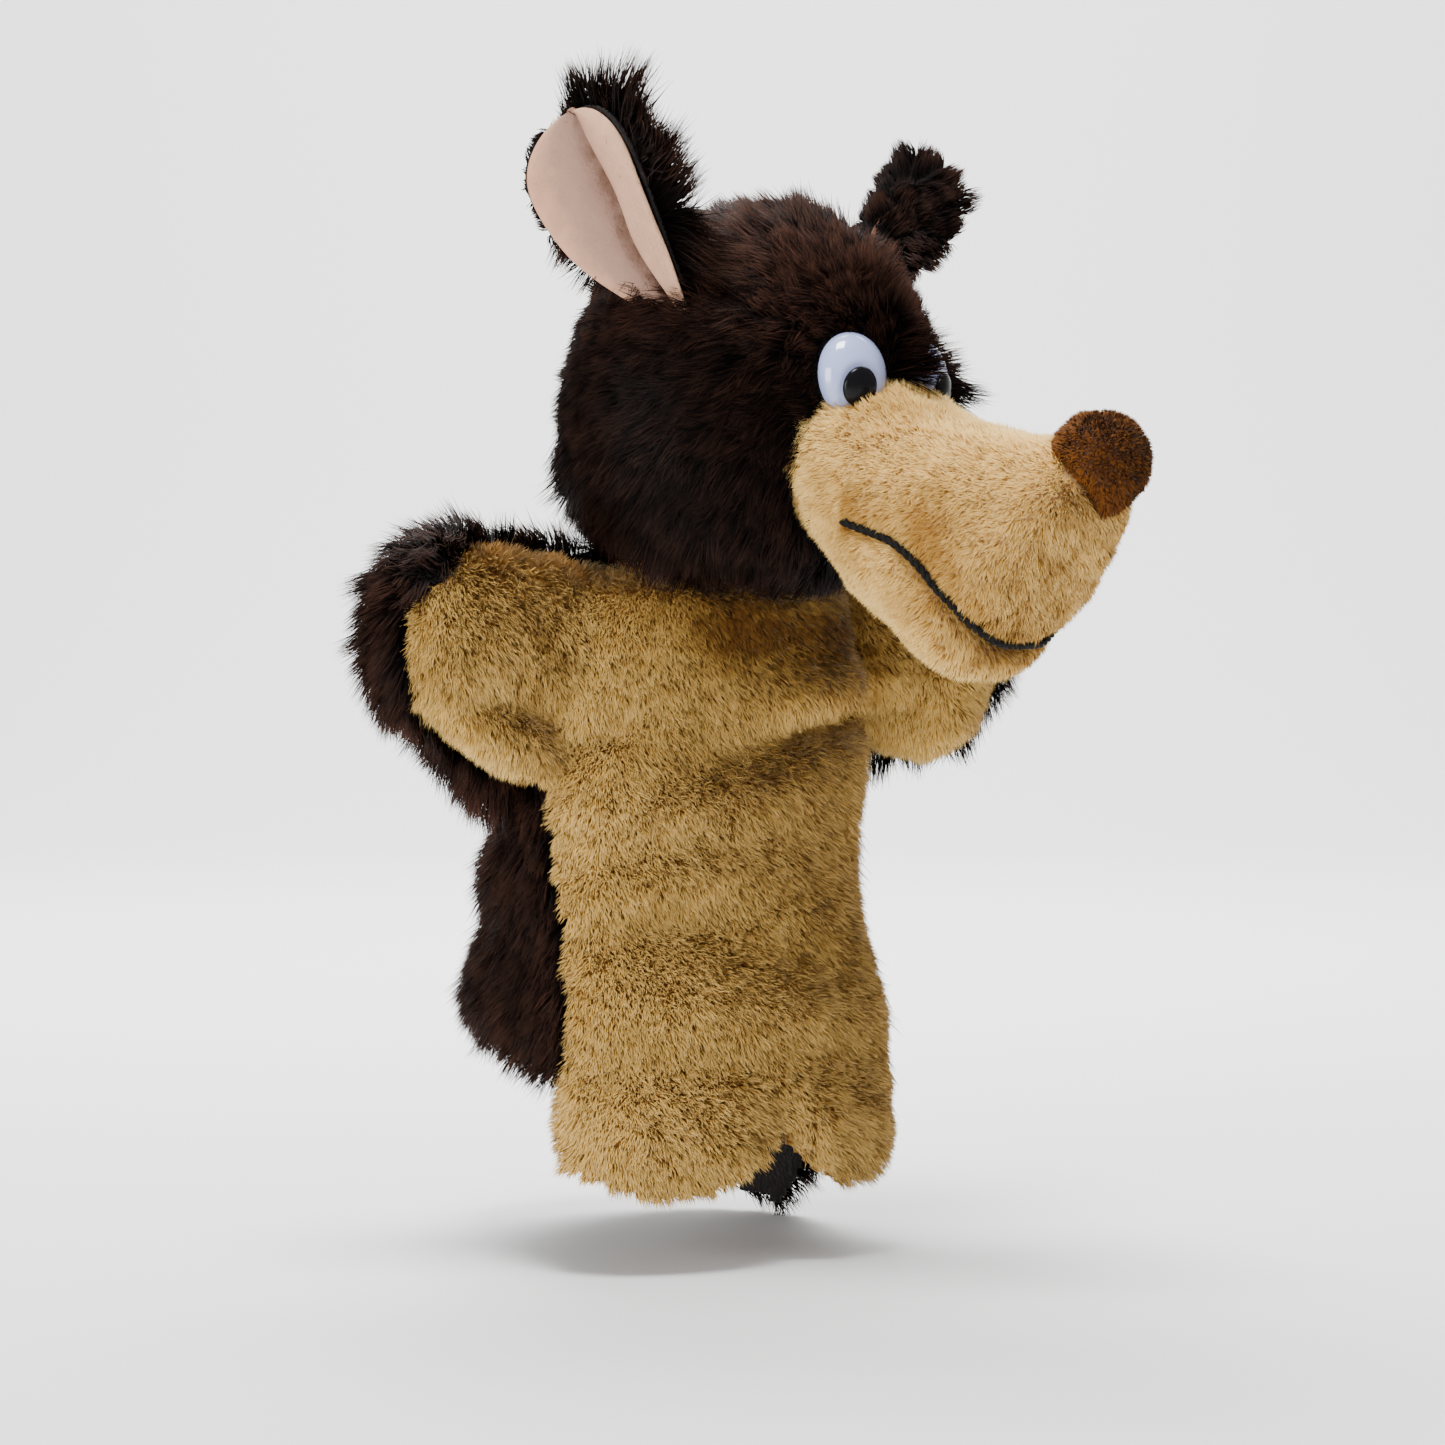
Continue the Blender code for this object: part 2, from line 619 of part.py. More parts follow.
def mouth_height(y):
    """The mouth's height at a place along the muzzle: level at the corners, and falling to the front."""
    share = min(max((-y - MUZZLE_ROOT) / (MUZZLE_REACH - MUZZLE_ROOT), 0), 1)
    return MOUTH_CORNER + (MOUTH_FRONT - MOUTH_CORNER) * max((share - 0.45) / 0.55, 0) ** 1.4


def mouth_region(side, low_x, high_x):
    """The space over the mouth's line, or under it, between two planes."""
    ys = [-WIDE] + [-MUZZLE_REACH - 0.004 + (MUZZLE_REACH + 0.004) * i / 14 for i in range(15)] + [WIDE]
    line = [(y, mouth_height(y) + side * SEAM / 2) for y in ys]
    return prism(line + [(WIDE, side * WIDE), (-WIDE, side * WIDE)], "X", low_x, high_x)


muzzle_spans = {
    "muzzle_right": (1, -WIDE, -SEAM / 2),
    "muzzle_left": (1, SEAM / 2, WIDE),
    "jaw": (-1, -WIDE, WIDE),
}
muzzle_panels = []
for name, span in muzzle_spans.items():
    panel = part(name, muzzle_skin(), CREAM_PLUSH, head_frame)
    thicken(panel, PLUSH)
    combine(panel, cutter(name + "_region", mouth_region(*span), head_frame), "INTERSECT")
    muzzle_panels.append(panel)
muzzle_filling = part("muzzle_filling", muzzle_solid(-PLUSH - 2 * TOUCH), FILLING, head_frame)

nose_form = bmesh.new()
bmesh.ops.create_uvsphere(nose_form, u_segments=20, v_segments=12, radius=NOSE_RADIUS)
NOSE_Y = -MUZZLE_REACH + 0.64 * NOSE_RADIUS
bmesh.ops.translate(nose_form, verts=nose_form.verts, vec=(0, NOSE_Y, NOSE_HEIGHT))
nose = part("nose", nose_form, NOSE_PLUSH, head_frame)
combine(nose, muzzle_room, "DIFFERENCE")


def mouth_side(share):
    """Half the muzzle's width at the mouth, at a share of the way to the front, or none where the mouth is past it."""
    half, top, bottom, square = between(MUZZLE_STATIONS, share)
    tall = MUZZLE_TOP - MUZZLE_BOTTOM
    high, low = MUZZLE_BOTTOM + tall * top, MUZZLE_BOTTOM + tall * bottom
    y = -(MUZZLE_ROOT + (MUZZLE_REACH - MUZZLE_ROOT) * share)
    level = min(abs(mouth_height(y) - (high + low) / 2) / ((high - low) / 2), 1)
    return MUZZLE_HALF * half * (1 - level**square) ** (1 / square)


def mouth_path():
    """The stitched mouth: along one side, round the front and back along the other, just off the cloth."""
    lift = THREAD_RADIUS + 2 * TOUCH
    first = 0.30
    last = max(first + 0.001 * i for i in range(700) if mouth_side(first + 0.001 * i) > 0)
    shares = [first + (last - first) * math.sin(math.pi / 2 * i / 10) for i in range(11)]
    along = []
    for share in shares:
        y = -(MUZZLE_ROOT + (MUZZLE_REACH - MUZZLE_ROOT) * share)
        along.append(Vector((mouth_side(share), y, mouth_height(y))))
    along[-1].x = 0
    lifted = []
    for i, here in enumerate(along):
        ahead = along[i + 1] if i + 1 < len(along) else Vector((-along[-2].x, along[-2].y, here.z))
        step = ahead - along[max(i - 1, 0)]
        step.z = 0
        step.normalize()
        lifted.append(here + Vector((-step.y, step.x, 0)) * lift)
    right = [Vector((-p.x, p.y, p.z)) for p in lifted]
    return right + lifted[-2::-1]


def thread_object():
    """The mouth's thread, laid along its path."""
    curve = bpy.data.curves.new("mouth_thread", "CURVE")
    curve.dimensions = "3D"
    curve.bevel_depth = THREAD_RADIUS
    curve.bevel_resolution = 1
    curve.use_fill_caps = True
    points = mouth_path()
    spline = curve.splines.new("POLY")
    spline.points.add(len(points) - 1)
    for point, place in zip(spline.points, points):
        point.co = (*place, 1)
    curve.materials.append(BLACK_THREAD)
    made = bpy.data.objects.new("mouth_thread", curve)
    made.parent = head_frame
    puppet.objects.link(made)


thread_object()


# ---------------------------------------------------------------- eyes

def eye_dome(grow):
    """An oval plastic dome, flat at the back, that looks along +Z."""
    form = bmesh.new()
    bmesh.ops.create_uvsphere(form, u_segments=20, v_segments=12, radius=1)
    bmesh.ops.bisect_plane(
        form, geom=form.verts[:] + form.edges[:] + form.faces[:], plane_co=(0, 0, 0), plane_no=(0, 0, 1), clear_inner=True
    )
    rim = [edge for edge in form.edges if edge.is_boundary]
    bmesh.ops.contextual_create(form, geom=rim)
    scale = (EYE_HALF_WIDTH + grow, EYE_HALF_HEIGHT + grow, EYE_DOME + grow)
    bmesh.ops.scale(form, verts=form.verts, vec=scale)
    if grow:
        low = min(vertex.co.z for vertex in form.verts)
        for vertex in form.verts:
            if vertex.co.z < low + 1e-6:
                vertex.co.z -= grow
    bmesh.ops.recalc_face_normals(form, faces=form.faces)
    return form


for side, word in ((-1, "right"), (1, "left")):
    level = EYE_HEIGHT - HEAD_MIDDLE
    around = HEAD_RADIUS * math.sqrt(1 - (level / HEAD_UP) ** 2)
    place, outward = head_surface((side * EYE_X, -math.sqrt(around**2 - EYE_X**2), level))
    turn = outward.to_track_quat("Z", "Y").to_euler()
    seat = empty(word + "_eye_seat", place + outward * TOUCH, turn, head_frame)

    dome = part(word + "_eye", eye_dome(0), WHITE_PLASTIC, seat)
    shank = cutter(word + "_shank", rod(SHANK_RADIUS, -SHANK_LENGTH, 0.001), seat)
    combine(dome, shank, "UNION")

    pupil_room = cutter(word + "_pupil_room", eye_dome(TOUCH), seat)
    pupil_form = bmesh.new()
    bmesh.ops.create_uvsphere(pupil_form, u_segments=16, v_segments=8, radius=1)
    bmesh.ops.scale(pupil_form, verts=pupil_form.verts, vec=(PUPIL_HALF, 1.1 * PUPIL_HALF, 0.0024))
    bmesh.ops.translate(pupil_form, verts=pupil_form.verts, vec=(0.0009, -0.0028, EYE_DOME - 0.0012))
    pupil = part(word + "_pupil", pupil_form, BLACK_PLASTIC, seat)
    combine(pupil, pupil_room, "DIFFERENCE")

    behind = -PLUSH - 2 * TOUCH - 0.0012
    washer_outline = [
        (WASHER_RADIUS, behind),
        (WASHER_RADIUS, behind - WASHER_THICK),
        (SHANK_RADIUS + TOUCH, behind - WASHER_THICK),
        (SHANK_RADIUS + TOUCH, behind),
        (WASHER_RADIUS, behind),
    ]
    part(word + "_eye_washer", turned_solid(washer_outline, 20), WASHER_PLASTIC, seat)

    shank_room = cutter(word + "_shank_room", rod(SHANK_RADIUS + TOUCH, -SHANK_LENGTH - TOUCH, 0.004), seat)
    washer_room = cutter(
        word + "_washer_room", rod(WASHER_RADIUS + TOUCH, behind - WASHER_THICK - TOUCH, behind + TOUCH), seat
    )
    eye_room = cutter(word + "_eye_room", eye_dome(TOUCH), seat)
    look_room = cutter(word + "_look_room", eye_dome(0.0020), seat)
    for panel in head_panels:
        combine(panel, shank_room, "DIFFERENCE")
        combine(panel, eye_room, "DIFFERENCE")
    for soft in (head_filling, muzzle_filling):
        combine(soft, shank_room, "DIFFERENCE")
        combine(soft, washer_room, "DIFFERENCE")
    for panel in muzzle_panels[:2] + [muzzle_filling]:
        combine(panel, look_room, "DIFFERENCE")
        combine(panel, shank_room, "DIFFERENCE")
        combine(panel, washer_room, "DIFFERENCE")


# ---------------------------------------------------------------- ears

def ear_leaf(start, shrink):
    """A cupped leaf, its hollow side towards -Y, its root at the origin and its tip up along Z."""
    across, along = 8, 8
    form = bmesh.new()
    rows = []
    for j in range(along + 1):
        v = j / along
        wide = math.sqrt(max(1 - (2 * (v - 0.42) / 1.16) ** 2, 0.0))
        half = max(wide * EAR_HALF_WIDTH - shrink, 0.0012)
        row = []
        for i in range(across + 1):
            u = 2 * i / across - 1
            x = u * half
            cup = EAR_CUP * (x / EAR_HALF_WIDTH) ** 2
            height = v * (EAR_LENGTH - 1.2 * shrink) + (0.4 * shrink if v else 0)
            row.append(form.verts.new((x, start - cup, height)))
        rows.append(row)
    for lower, upper in zip(rows, rows[1:]):
        for i in range(across):
            form.faces.new((lower[i], lower[i + 1], upper[i + 1], upper[i]))
    return form


# side, direction from the head's middle, lean outwards, lean back, turn of the hollow side outwards
EARS = [
    (-1, "right", (-0.78, 0.14, 0.46), math.radians(24), math.radians(30), math.radians(92)),
    (1, "left", (0.74, 0.10, 0.52), math.radians(38), math.radians(8), math.radians(84)),
]
for side, word, direction, out, back, turn in EARS:
    place, outward = head_surface(direction)
    root = place + outward * EAR_CLEAR
    rotation = Matrix.Rotation(side * out, 3, "Y") @ Matrix.Rotation(-back, 3, "X") @ Matrix.Rotation(side * turn, 3, "Z")
    ear = empty(word + "_ear_root", root, rotation.to_euler(), head_frame)
    leather = part(word + "_ear_back", face_away(ear_leaf(0, 0), Vector((0, 1, EAR_LENGTH / 2))), BROWN_PLUSH, ear)
    leather.modifiers.new("wall", "SOLIDIFY").thickness = PLUSH
    leather.modifiers["wall"].offset = -1
    lining = part(word + "_ear_lining", face_away(ear_leaf(-TOUCH, 0.0025), Vector((0, 1, EAR_LENGTH / 2))), PINK_FELT, ear)
    lining.modifiers.new("wall", "SOLIDIFY").thickness = FELT
    lining.modifiers["wall"].offset = 1

for mesh in bpy.data.meshes:
    mesh.shade_smooth()
    mesh.set_sharp_from_angle(angle=math.radians(40))
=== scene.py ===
"""A wolf hand puppet in plush: its cloth, its pile, its eyes, nose and ears, on the frame of its solid parts."""

import math

import bmesh
import bpy
import numpy as np
from mathutils import Euler, Matrix, Vector
from mathutils.kdtree import KDTree


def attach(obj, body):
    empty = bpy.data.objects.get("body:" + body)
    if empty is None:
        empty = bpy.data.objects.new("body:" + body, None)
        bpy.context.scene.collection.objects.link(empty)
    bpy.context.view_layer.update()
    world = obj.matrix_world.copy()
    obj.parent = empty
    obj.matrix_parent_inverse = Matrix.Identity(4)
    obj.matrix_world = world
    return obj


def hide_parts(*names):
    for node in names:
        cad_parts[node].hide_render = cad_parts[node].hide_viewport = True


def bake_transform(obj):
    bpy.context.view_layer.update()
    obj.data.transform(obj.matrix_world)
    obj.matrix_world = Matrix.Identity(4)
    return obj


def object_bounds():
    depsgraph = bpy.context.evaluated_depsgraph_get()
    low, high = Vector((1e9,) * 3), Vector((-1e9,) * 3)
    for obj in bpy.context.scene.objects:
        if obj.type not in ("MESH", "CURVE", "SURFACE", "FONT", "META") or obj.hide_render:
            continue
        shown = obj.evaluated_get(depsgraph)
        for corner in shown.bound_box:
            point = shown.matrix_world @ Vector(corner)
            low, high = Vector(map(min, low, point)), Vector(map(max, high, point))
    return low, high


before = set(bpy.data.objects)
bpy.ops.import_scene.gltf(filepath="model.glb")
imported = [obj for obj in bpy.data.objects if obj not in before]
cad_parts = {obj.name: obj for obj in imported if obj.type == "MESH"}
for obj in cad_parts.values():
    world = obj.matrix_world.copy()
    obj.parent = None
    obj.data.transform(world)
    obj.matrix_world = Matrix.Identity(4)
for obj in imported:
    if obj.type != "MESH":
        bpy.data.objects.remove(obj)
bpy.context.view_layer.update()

# ---------------------------------------------------------------- camera, lights and floor
# A plain pale studio: a sweep of floor that turns up into a wall, one large soft light
# over the puppet's right shoulder, a weaker one from its left, and an even sky.

world = bpy.data.worlds.new("studio")
bpy.context.scene.world = world
world.use_nodes = True
world.node_tree.nodes["Background"].inputs["Color"].default_value = (1.0, 1.0, 1.0, 1)
world.node_tree.nodes["Background"].inputs["Strength"].default_value = 0.42

view_turn, view_rise = math.radians(-32), math.radians(2)
towards_camera = Vector(
    (math.sin(view_turn) * math.cos(view_rise), -math.cos(view_turn) * math.cos(view_rise), math.sin(view_rise))
)
view_right = Vector((0, 0, 1)).cross(towards_camera).normalized()
aim = Vector((0, 0, 0.08775)) + view_right * 0.011
camera = bpy.data.objects.new("camera", bpy.data.cameras.new("camera"))
camera.data.lens = 99.65
camera.data.sensor_width = 36
camera.location = aim + towards_camera
camera.rotation_euler = towards_camera.to_track_quat("Z", "Y").to_euler()
bpy.context.scene.collection.objects.link(camera)
bpy.context.scene.camera = camera


def lamp(name, place, size, power, target=(0, 0, 0.1)):
    """A large square light that shines at the puppet's chest, or at a target."""
    light = bpy.data.objects.new(name, bpy.data.lights.new(name, "AREA"))
    light.data.size = size
    light.data.energy = power
    light.location = place
    light.rotation_euler = (Vector(place) - Vector(target)).to_track_quat("Z", "Y").to_euler()
    bpy.context.scene.collection.objects.link(light)


lamp("key_light", (-0.20, -0.36, 1.45), 0.5, 27)
lamp("side_light", (-1.15, -0.45, 0.30), 0.6, 11)
lamp("rim_light", (0.15, 0.60, 1.15), 0.7, 15)
behind = -towards_camera.normalized()
lamp("wall_light", behind * 0.9 + Vector((0, 0, 1.5)), 1.5, 75, behind * 2.4 + Vector((0, 0, 0.1)))

cove = [(-6.0, 0.0)] + [(1.5 + 0.9 * math.sin(t), 0.9 - 0.9 * math.cos(t)) for t in np.linspace(0, math.pi / 2, 24)] + [(2.4, 5.0)]
floor_form = bmesh.new()
brim = [floor_form.verts.new((-6, y, z)) for y, z in cove]
edges = [floor_form.edges.new(pair) for pair in zip(brim, brim[1:])]
made = bmesh.ops.extrude_edge_only(floor_form, edges=edges)["geom"]
bmesh.ops.translate(floor_form, verts=[v for v in made if isinstance(v, bmesh.types.BMVert)], vec=(12, 0, 0))
bmesh.ops.translate(floor_form, verts=floor_form.verts, vec=(0, 0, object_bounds()[0][2] - 0.012))
bmesh.ops.rotate(floor_form, verts=floor_form.verts, matrix=Matrix.Rotation(view_turn, 3, "Z"))
for face in floor_form.faces:
    face.smooth = True
floor_mesh = bpy.data.meshes.new("floor")
floor_form.to_mesh(floor_mesh)
floor = bpy.data.objects.new("floor", floor_mesh)
bpy.context.scene.collection.objects.link(floor)
floor_paint = bpy.data.materials.new("floor_paint")
floor_paint.use_nodes = True
floor_paint.node_tree.nodes["Principled BSDF"].inputs["Base Color"].default_value = (0.9, 0.9, 0.9, 1)
floor_paint.node_tree.nodes["Principled BSDF"].inputs["Roughness"].default_value = 0.9
floor_mesh.materials.append(floor_paint)

# ---------------------------------------------------------------- the glove's cloth
# One hand-shaped bag of plush: a tan front and a dark brown back, sewn together down the sides and round
# both arms. It is cut here from one smooth body, so the panels meet on the seam.


class Wire:
    """A number that runs between shader nodes."""

    def __init__(self, dye, socket):
        self.dye, self.socket = dye, socket

    def meet(self, operation, first, second):
        made = self.dye.node("ShaderNodeMath", {"operation": operation}, {0: first, 1: second})
        return Wire(self.dye, made.outputs[0])

    def __add__(self, other):
        return self.meet("ADD", self, other)

    def __mul__(self, other):
        return self.meet("MULTIPLY", self, other)

    def __sub__(self, other):
        return self.meet("SUBTRACT", self, other)

    def __rsub__(self, other):
        return self.meet("SUBTRACT", other, self)

    __radd__, __rmul__ = __add__, __mul__


class Dye:
    """A material and its nodes."""

    def __init__(self, name, roughness, **steady):
        self.material = bpy.data.materials.new(name)
        self.material.use_nodes = True
        self.tree = self.material.node_tree
        self.shader = self.tree.nodes["Principled BSDF"]
        self.shader.inputs["Roughness"].default_value = roughness
        for socket, value in steady.items():
            self.shader.inputs[socket.replace("_", " ")].default_value = value

    def node(self, kind, settings=None, sockets=None):
        """A node, with its settings put in first, and then values or links on its sockets."""
        made = self.tree.nodes.new(kind)
        for key, value in (settings or {}).items():
            if key == "stops":
                ramp = made.color_ramp
                while len(ramp.elements) < len(value):
                    ramp.elements.new(0.5)
                for element, (place, colour) in zip(ramp.elements, value):
                    element.position = place
                    element.color = (*colour, 1)
            else:
                setattr(made, key, value)
        for key, value in (sockets or {}).items():
            self.plug(made.inputs[key], value)
        return made

    def plug(self, socket, value):
        if isinstance(value, Wire):
            value = value.socket
        if isinstance(value, bpy.types.NodeSocket):
            self.tree.links.new(value, socket)
        else:
            socket.default_value = value

    def base(self, value):
        self.plug(self.shader.inputs["Base Color"], value)

    def noise(self, scale, detail=3.0, place=None):
        place = place or self.node("ShaderNodeTexCoord").outputs["Object"]
        made = self.node("ShaderNodeTexNoise", {}, {"Vector": place, "Scale": scale, "Detail": detail})
        return Wire(self, made.outputs["Fac"])

    def ramp(self, number, stops):
        return self.node("ShaderNodeValToRGB", {"stops": stops}, {"Fac": number}).outputs["Color"]

    def bump(self, height, depth, strength=1.0):
        made = self.node("ShaderNodeBump", {}, {"Height": height, "Distance": depth, "Strength": strength})
        self.plug(self.shader.inputs["Normal"], made.outputs["Normal"])


def backing(name, dark, light):
    """The knitted cloth that a pile is tied into, seen between its roots and inside the glove."""
    dye = Dye(name, 0.95)
    place = dye.node("ShaderNodeTexCoord").outputs["Object"]
    knit = dye.node("ShaderNodeTexVoronoi", {"feature": "F1"}, {"Vector": place, "Scale": 900.0}).outputs["Distance"]
    dye.base(dye.ramp(dye.noise(260.0), [(0.3, dark), (0.7, light)]))
    dye.bump(knit, 0.0004)
    return dye.material


TAN_BACKING = backing("tan_backing", (0.22, 0.09, 0.012), (0.34, 0.16, 0.03))
BROWN_BACKING = backing("brown_backing", (0.003, 0.0015, 0.001), (0.008, 0.004, 0.003))
CREAM_BACKING = backing("cream_backing", (0.50, 0.28, 0.11), (0.62, 0.38, 0.17))

GLOVE_HEIGHT = 0.126
NECK_Y = -0.014
# height, half width, y of the side seam, of the front and of the back
GLOVE_SIZES = [
    (-0.040, 0.0470, -0.026, -0.043, 0.0600),
    (0.000, 0.0470, -0.023, -0.041, 0.0580),
    (0.030, 0.0460, -0.019, -0.036, 0.0550),
    (0.057, 0.0450, -0.016, -0.031, 0.044),
    (0.088, 0.0445, -0.014, -0.031, 0.025),
    (0.108, 0.0430, -0.014, -0.034, 0.018),
    (0.120, 0.0380, -0.014, -0.036, 0.012),
    (0.127, 0.0240, -0.014, -0.034, 0.007),
    (0.132, 0.0190, -0.014, -0.032, 0.005),
]


def tube_along(form, sizes, spot):
    """A closed tube: a disc whose rim is extruded from size to size, each ring placed by spot(size, cos, sin)."""
    disc = bmesh.ops.create_circle(form, cap_ends=True, segments=48, radius=1)["verts"]
    turn = {v: (v.co.x, v.co.y) for v in disc}
    rim = list({e for v in disc for e in v.link_edges if e.is_boundary})
    for v in disc:
        v.co = spot(sizes[0], *turn[v])
    for size in sizes[1:]:
        made = bmesh.ops.extrude_edge_only(form, edges=rim)["geom"]
        fresh = [v for v in made if isinstance(v, bmesh.types.BMVert)]
        rim = [e for e in made if isinstance(e, bmesh.types.BMEdge) and all(v in fresh for v in e.verts)]
        for v in fresh:
            old = next(e.other_vert(v) for e in v.link_edges if e.other_vert(v) in turn and e.other_vert(v) not in fresh)
            turn[v] = turn[old]
        for v in fresh:
            v.co = spot(size, *turn[v])
    bmesh.ops.contextual_create(form, geom=rim)
    bmesh.ops.recalc_face_normals(form, faces=form.faces)


def glove_spot(size, c, s):
    height, half, seam, front, back = size
    if s > 0:  # the back hangs square
        square = 1 - 0.15 * min(max((0.085 - height) / 0.05, 0), 1)
        return Vector((half * math.copysign(abs(c) ** square, c), seam + s**square * (back - seam), height))
    return Vector((half * c, seam + s * (seam - front), height))


SHOULDER = {-1: Vector((-0.0445, -0.010, 0.108)), 1: Vector((0.0445, -0.010, 0.108))}
RAISED = {-1: math.radians(8), 1: math.radians(-20)}
FOLDED = {-1: 0.0, 1: math.radians(30)}
SLEEVE = 0.010
ARM_LONG = 0.042
ARM_DEEP, ARM_TALL = 0.0125, 0.0205


def arm_place(side, along, y, z):
    """A point of an arm that is laid straight along X, moved to where the arm hangs at rest."""
    p = Vector((side * along, y, z))
    if along > SLEEVE and FOLDED[side]:
        bend = FOLDED[side] * min((along - SLEEVE) / 0.012, 1)
        hinge = Vector((side * SLEEVE, -ARM_DEEP, 0))
        p = hinge + Matrix.Rotation(-side * bend, 3, "Z") @ (p - hinge)
    return SHOULDER[side] + Matrix.Rotation(-side * RAISED[side], 3, "Y") @ p


def bag(forms, voxel, rounds):
    """Closed forms run together into one even skin, and smoothed as a stuffed cloth is."""
    mesh = bpy.data.meshes.new("bag")
    forms.to_mesh(mesh)
    forms.free()
    made = bpy.data.objects.new("bag", mesh)
    bpy.context.scene.collection.objects.link(made)
    joined = made.modifiers.new("joined", "REMESH")
    joined.mode, joined.voxel_size, joined.adaptivity = "VOXEL", voxel, 0.0
    evened = made.modifiers.new("evened", "SMOOTH")
    evened.factor, evened.iterations = 0.5, rounds
    skin = bmesh.new()
    skin.from_mesh(made.evaluated_get(bpy.context.evaluated_depsgraph_get()).to_mesh())
    bpy.data.objects.remove(made)
    bpy.data.meshes.remove(mesh)
    return skin


glove_form = bmesh.new()
tube_along(glove_form, GLOVE_SIZES, glove_spot)
for side in (-1, 1):
    shares = [(-0.020, 0.90), (-0.006, 1.0), (0.006, 1.0), (0.016, 1.02), (0.026, 1.03)]
    shares += [(0.028 + 0.014 * math.sin(t), math.cos(t) ** 0.7) for t in (0.35, 0.7, 1.05, 1.3, 1.47)]
    arm_form = bmesh.new()
    tube_along(
        arm_form,
        shares,
        lambda size, c, s: arm_place(side, size[0] * (0.74 if side > 0 and size[0] > 0 else 1.0), ARM_DEEP * size[1] * c, ARM_TALL * size[1] * s),
    )
    spare = bpy.data.meshes.new("arm")
    arm_form.to_mesh(spare)
    glove_form.from_mesh(spare)
    arm_form.free()
    bpy.data.meshes.remove(spare)
# under the right arm both cloths run slack from the arm to the side, in webs
for place, size, slope in (
    ((-0.0552, 0.002, 0.0850), (0.020, 0.0065, 0.0080), 52),
    ((-0.0570, -0.0135, 0.0868), (0.021, 0.0065, 0.0075), 30),
):
    web = bmesh.ops.create_uvsphere(glove_form, u_segments=24, v_segments=16, radius=1)["verts"]
    bmesh.ops.scale(glove_form, verts=web, vec=size)
    bmesh.ops.rotate(glove_form, verts=web, matrix=Matrix.Rotation(math.radians(slope), 3, "Y"))
    bmesh.ops.translate(glove_form, verts=web, vec=place)
glove_skin = bag(glove_form, 0.0021, 7)


def hollow(p, place, half, turn=0.0):
    """How deep a point lies in a soft dent: an oval bell about a place, seen from the front, turned in its plane."""
    dx, dz = p.x - place[0], p.z - place[1]
    a = dx * math.cos(turn) + dz * math.sin(turn)
    b = -dx * math.sin(turn) + dz * math.cos(turn)
    return math.exp(-((a / half[0]) ** 2) - (b / half[1]) ** 2)


# dents and swells of the worn front, as x and z, half sizes, turn and depth in millimetres
FRONT_FOLDS = [
    ((0.030, 0.088), (0.024, 0.0045), 0.12, -3.4),
    ((0.000, 0.080), (0.022, 0.006), 0.25, -1.8),
    ((0.022, 0.097), (0.020, 0.006), 0.10, 1.8),
    ((-0.006, 0.070), (0.030, 0.008), 0.1, 1.8),
    ((0.036, 0.112), (0.004, 0.016), 0.2, -3.2),
    ((-0.036, 0.086), (0.012, 0.004), 0.6, -2.0),
    ((-0.020, 0.040), (0.018, 0.006), 0.15, -1.6),
    ((0.014, 0.030), (0.026, 0.007), -0.3, -1.2),
    ((0.000, 0.018), (0.036, 0.009), -0.05, 1.8),
    ((-0.010, 0.053), (0.030, 0.007), 0.10, 1.4),
    ((0.000, 0.124), (0.020, 0.004), 0.0, -1.8),
]
glove_skin.normal_update()
for v in glove_skin.verts:
    if v.normal.y < 0.2:
        push = 1.5 * sum(depth * hollow(v.co, place, half, turn) for place, half, turn, depth in FRONT_FOLDS)
        for middle, half in ((-0.0225, 0.020), (0.0255, 0.016)):
            lobe = math.exp(-(((v.co.x - middle) / half) ** 4))
            push += lobe * (3.8 * math.exp(-(((v.co.z + 0.013) / 0.012) ** 2)) - 1.4 * math.exp(-(((v.co.z - 0.007) / 0.006) ** 2)))
        v.co += v.normal * push * 0.001
        draw_in = 0.0065 * math.exp(-(((v.co.z - 0.047) / 0.027) ** 2)) + 0.0030 * min(max((0.02 - v.co.z) / 0.02, 0), 1)
        v.co.x -= draw_in * min(max((v.co.x - 0.015) / 0.025, 0), 1) * (v.co.z < 0.085)
    else:
        v.co += v.normal * 0.0016 * math.sin(v.co.z * 190 + v.co.x * 60) * min(max((0.1 - v.co.z) / 0.06, 0), 1)


def seam_y(z):
    """The side seam's y at a height."""
    return float(np.interp(z, [s[0] for s in GLOVE_SIZES], [s[2] for s in GLOVE_SIZES]))


# where each arm's cloth leaves the body and where its mitten begins: a plane's point, its normal and how far it bends
SHOULDER_LINE = {s: (Vector((s * 0.0405, -0.01, 0.107)), Vector((s * 0.962, 0, 0.272)), 0.009) for s in (-1, 1)}
MITTEN_LINE = {}
for side in (-1, 1):
    start = arm_place(side, 0.0115, 0, 0)
    ahead = (arm_place(side, 0.024, 0, 0) - start).normalized()
    if side > 0:
        ahead = (Matrix.Rotation(RAISED[1], 3, "Y") @ Vector((math.cos(0.26), -math.sin(0.26), 0))).normalized()
    MITTEN_LINE[side] = (start, ahead, 0.009)
FOOT_SPLIT = 0.004
FOOT_LINE = 0.006


def region_of(p):
    """Which piece of the glove a point of its skin belongs to."""
    for side, word in ((-1, "right"), (1, "left")):
        mitten_at, mitten_way, _ = MITTEN_LINE[side]
        arm_at, arm_way, _ = SHOULDER_LINE[side]
        if (p - arm_at).dot(arm_way) > 0 and p.z > 0.06:
            return word + ("_mitten" if (p - mitten_at).dot(mitten_way) > 0 else "_shoulder")
    return "body"


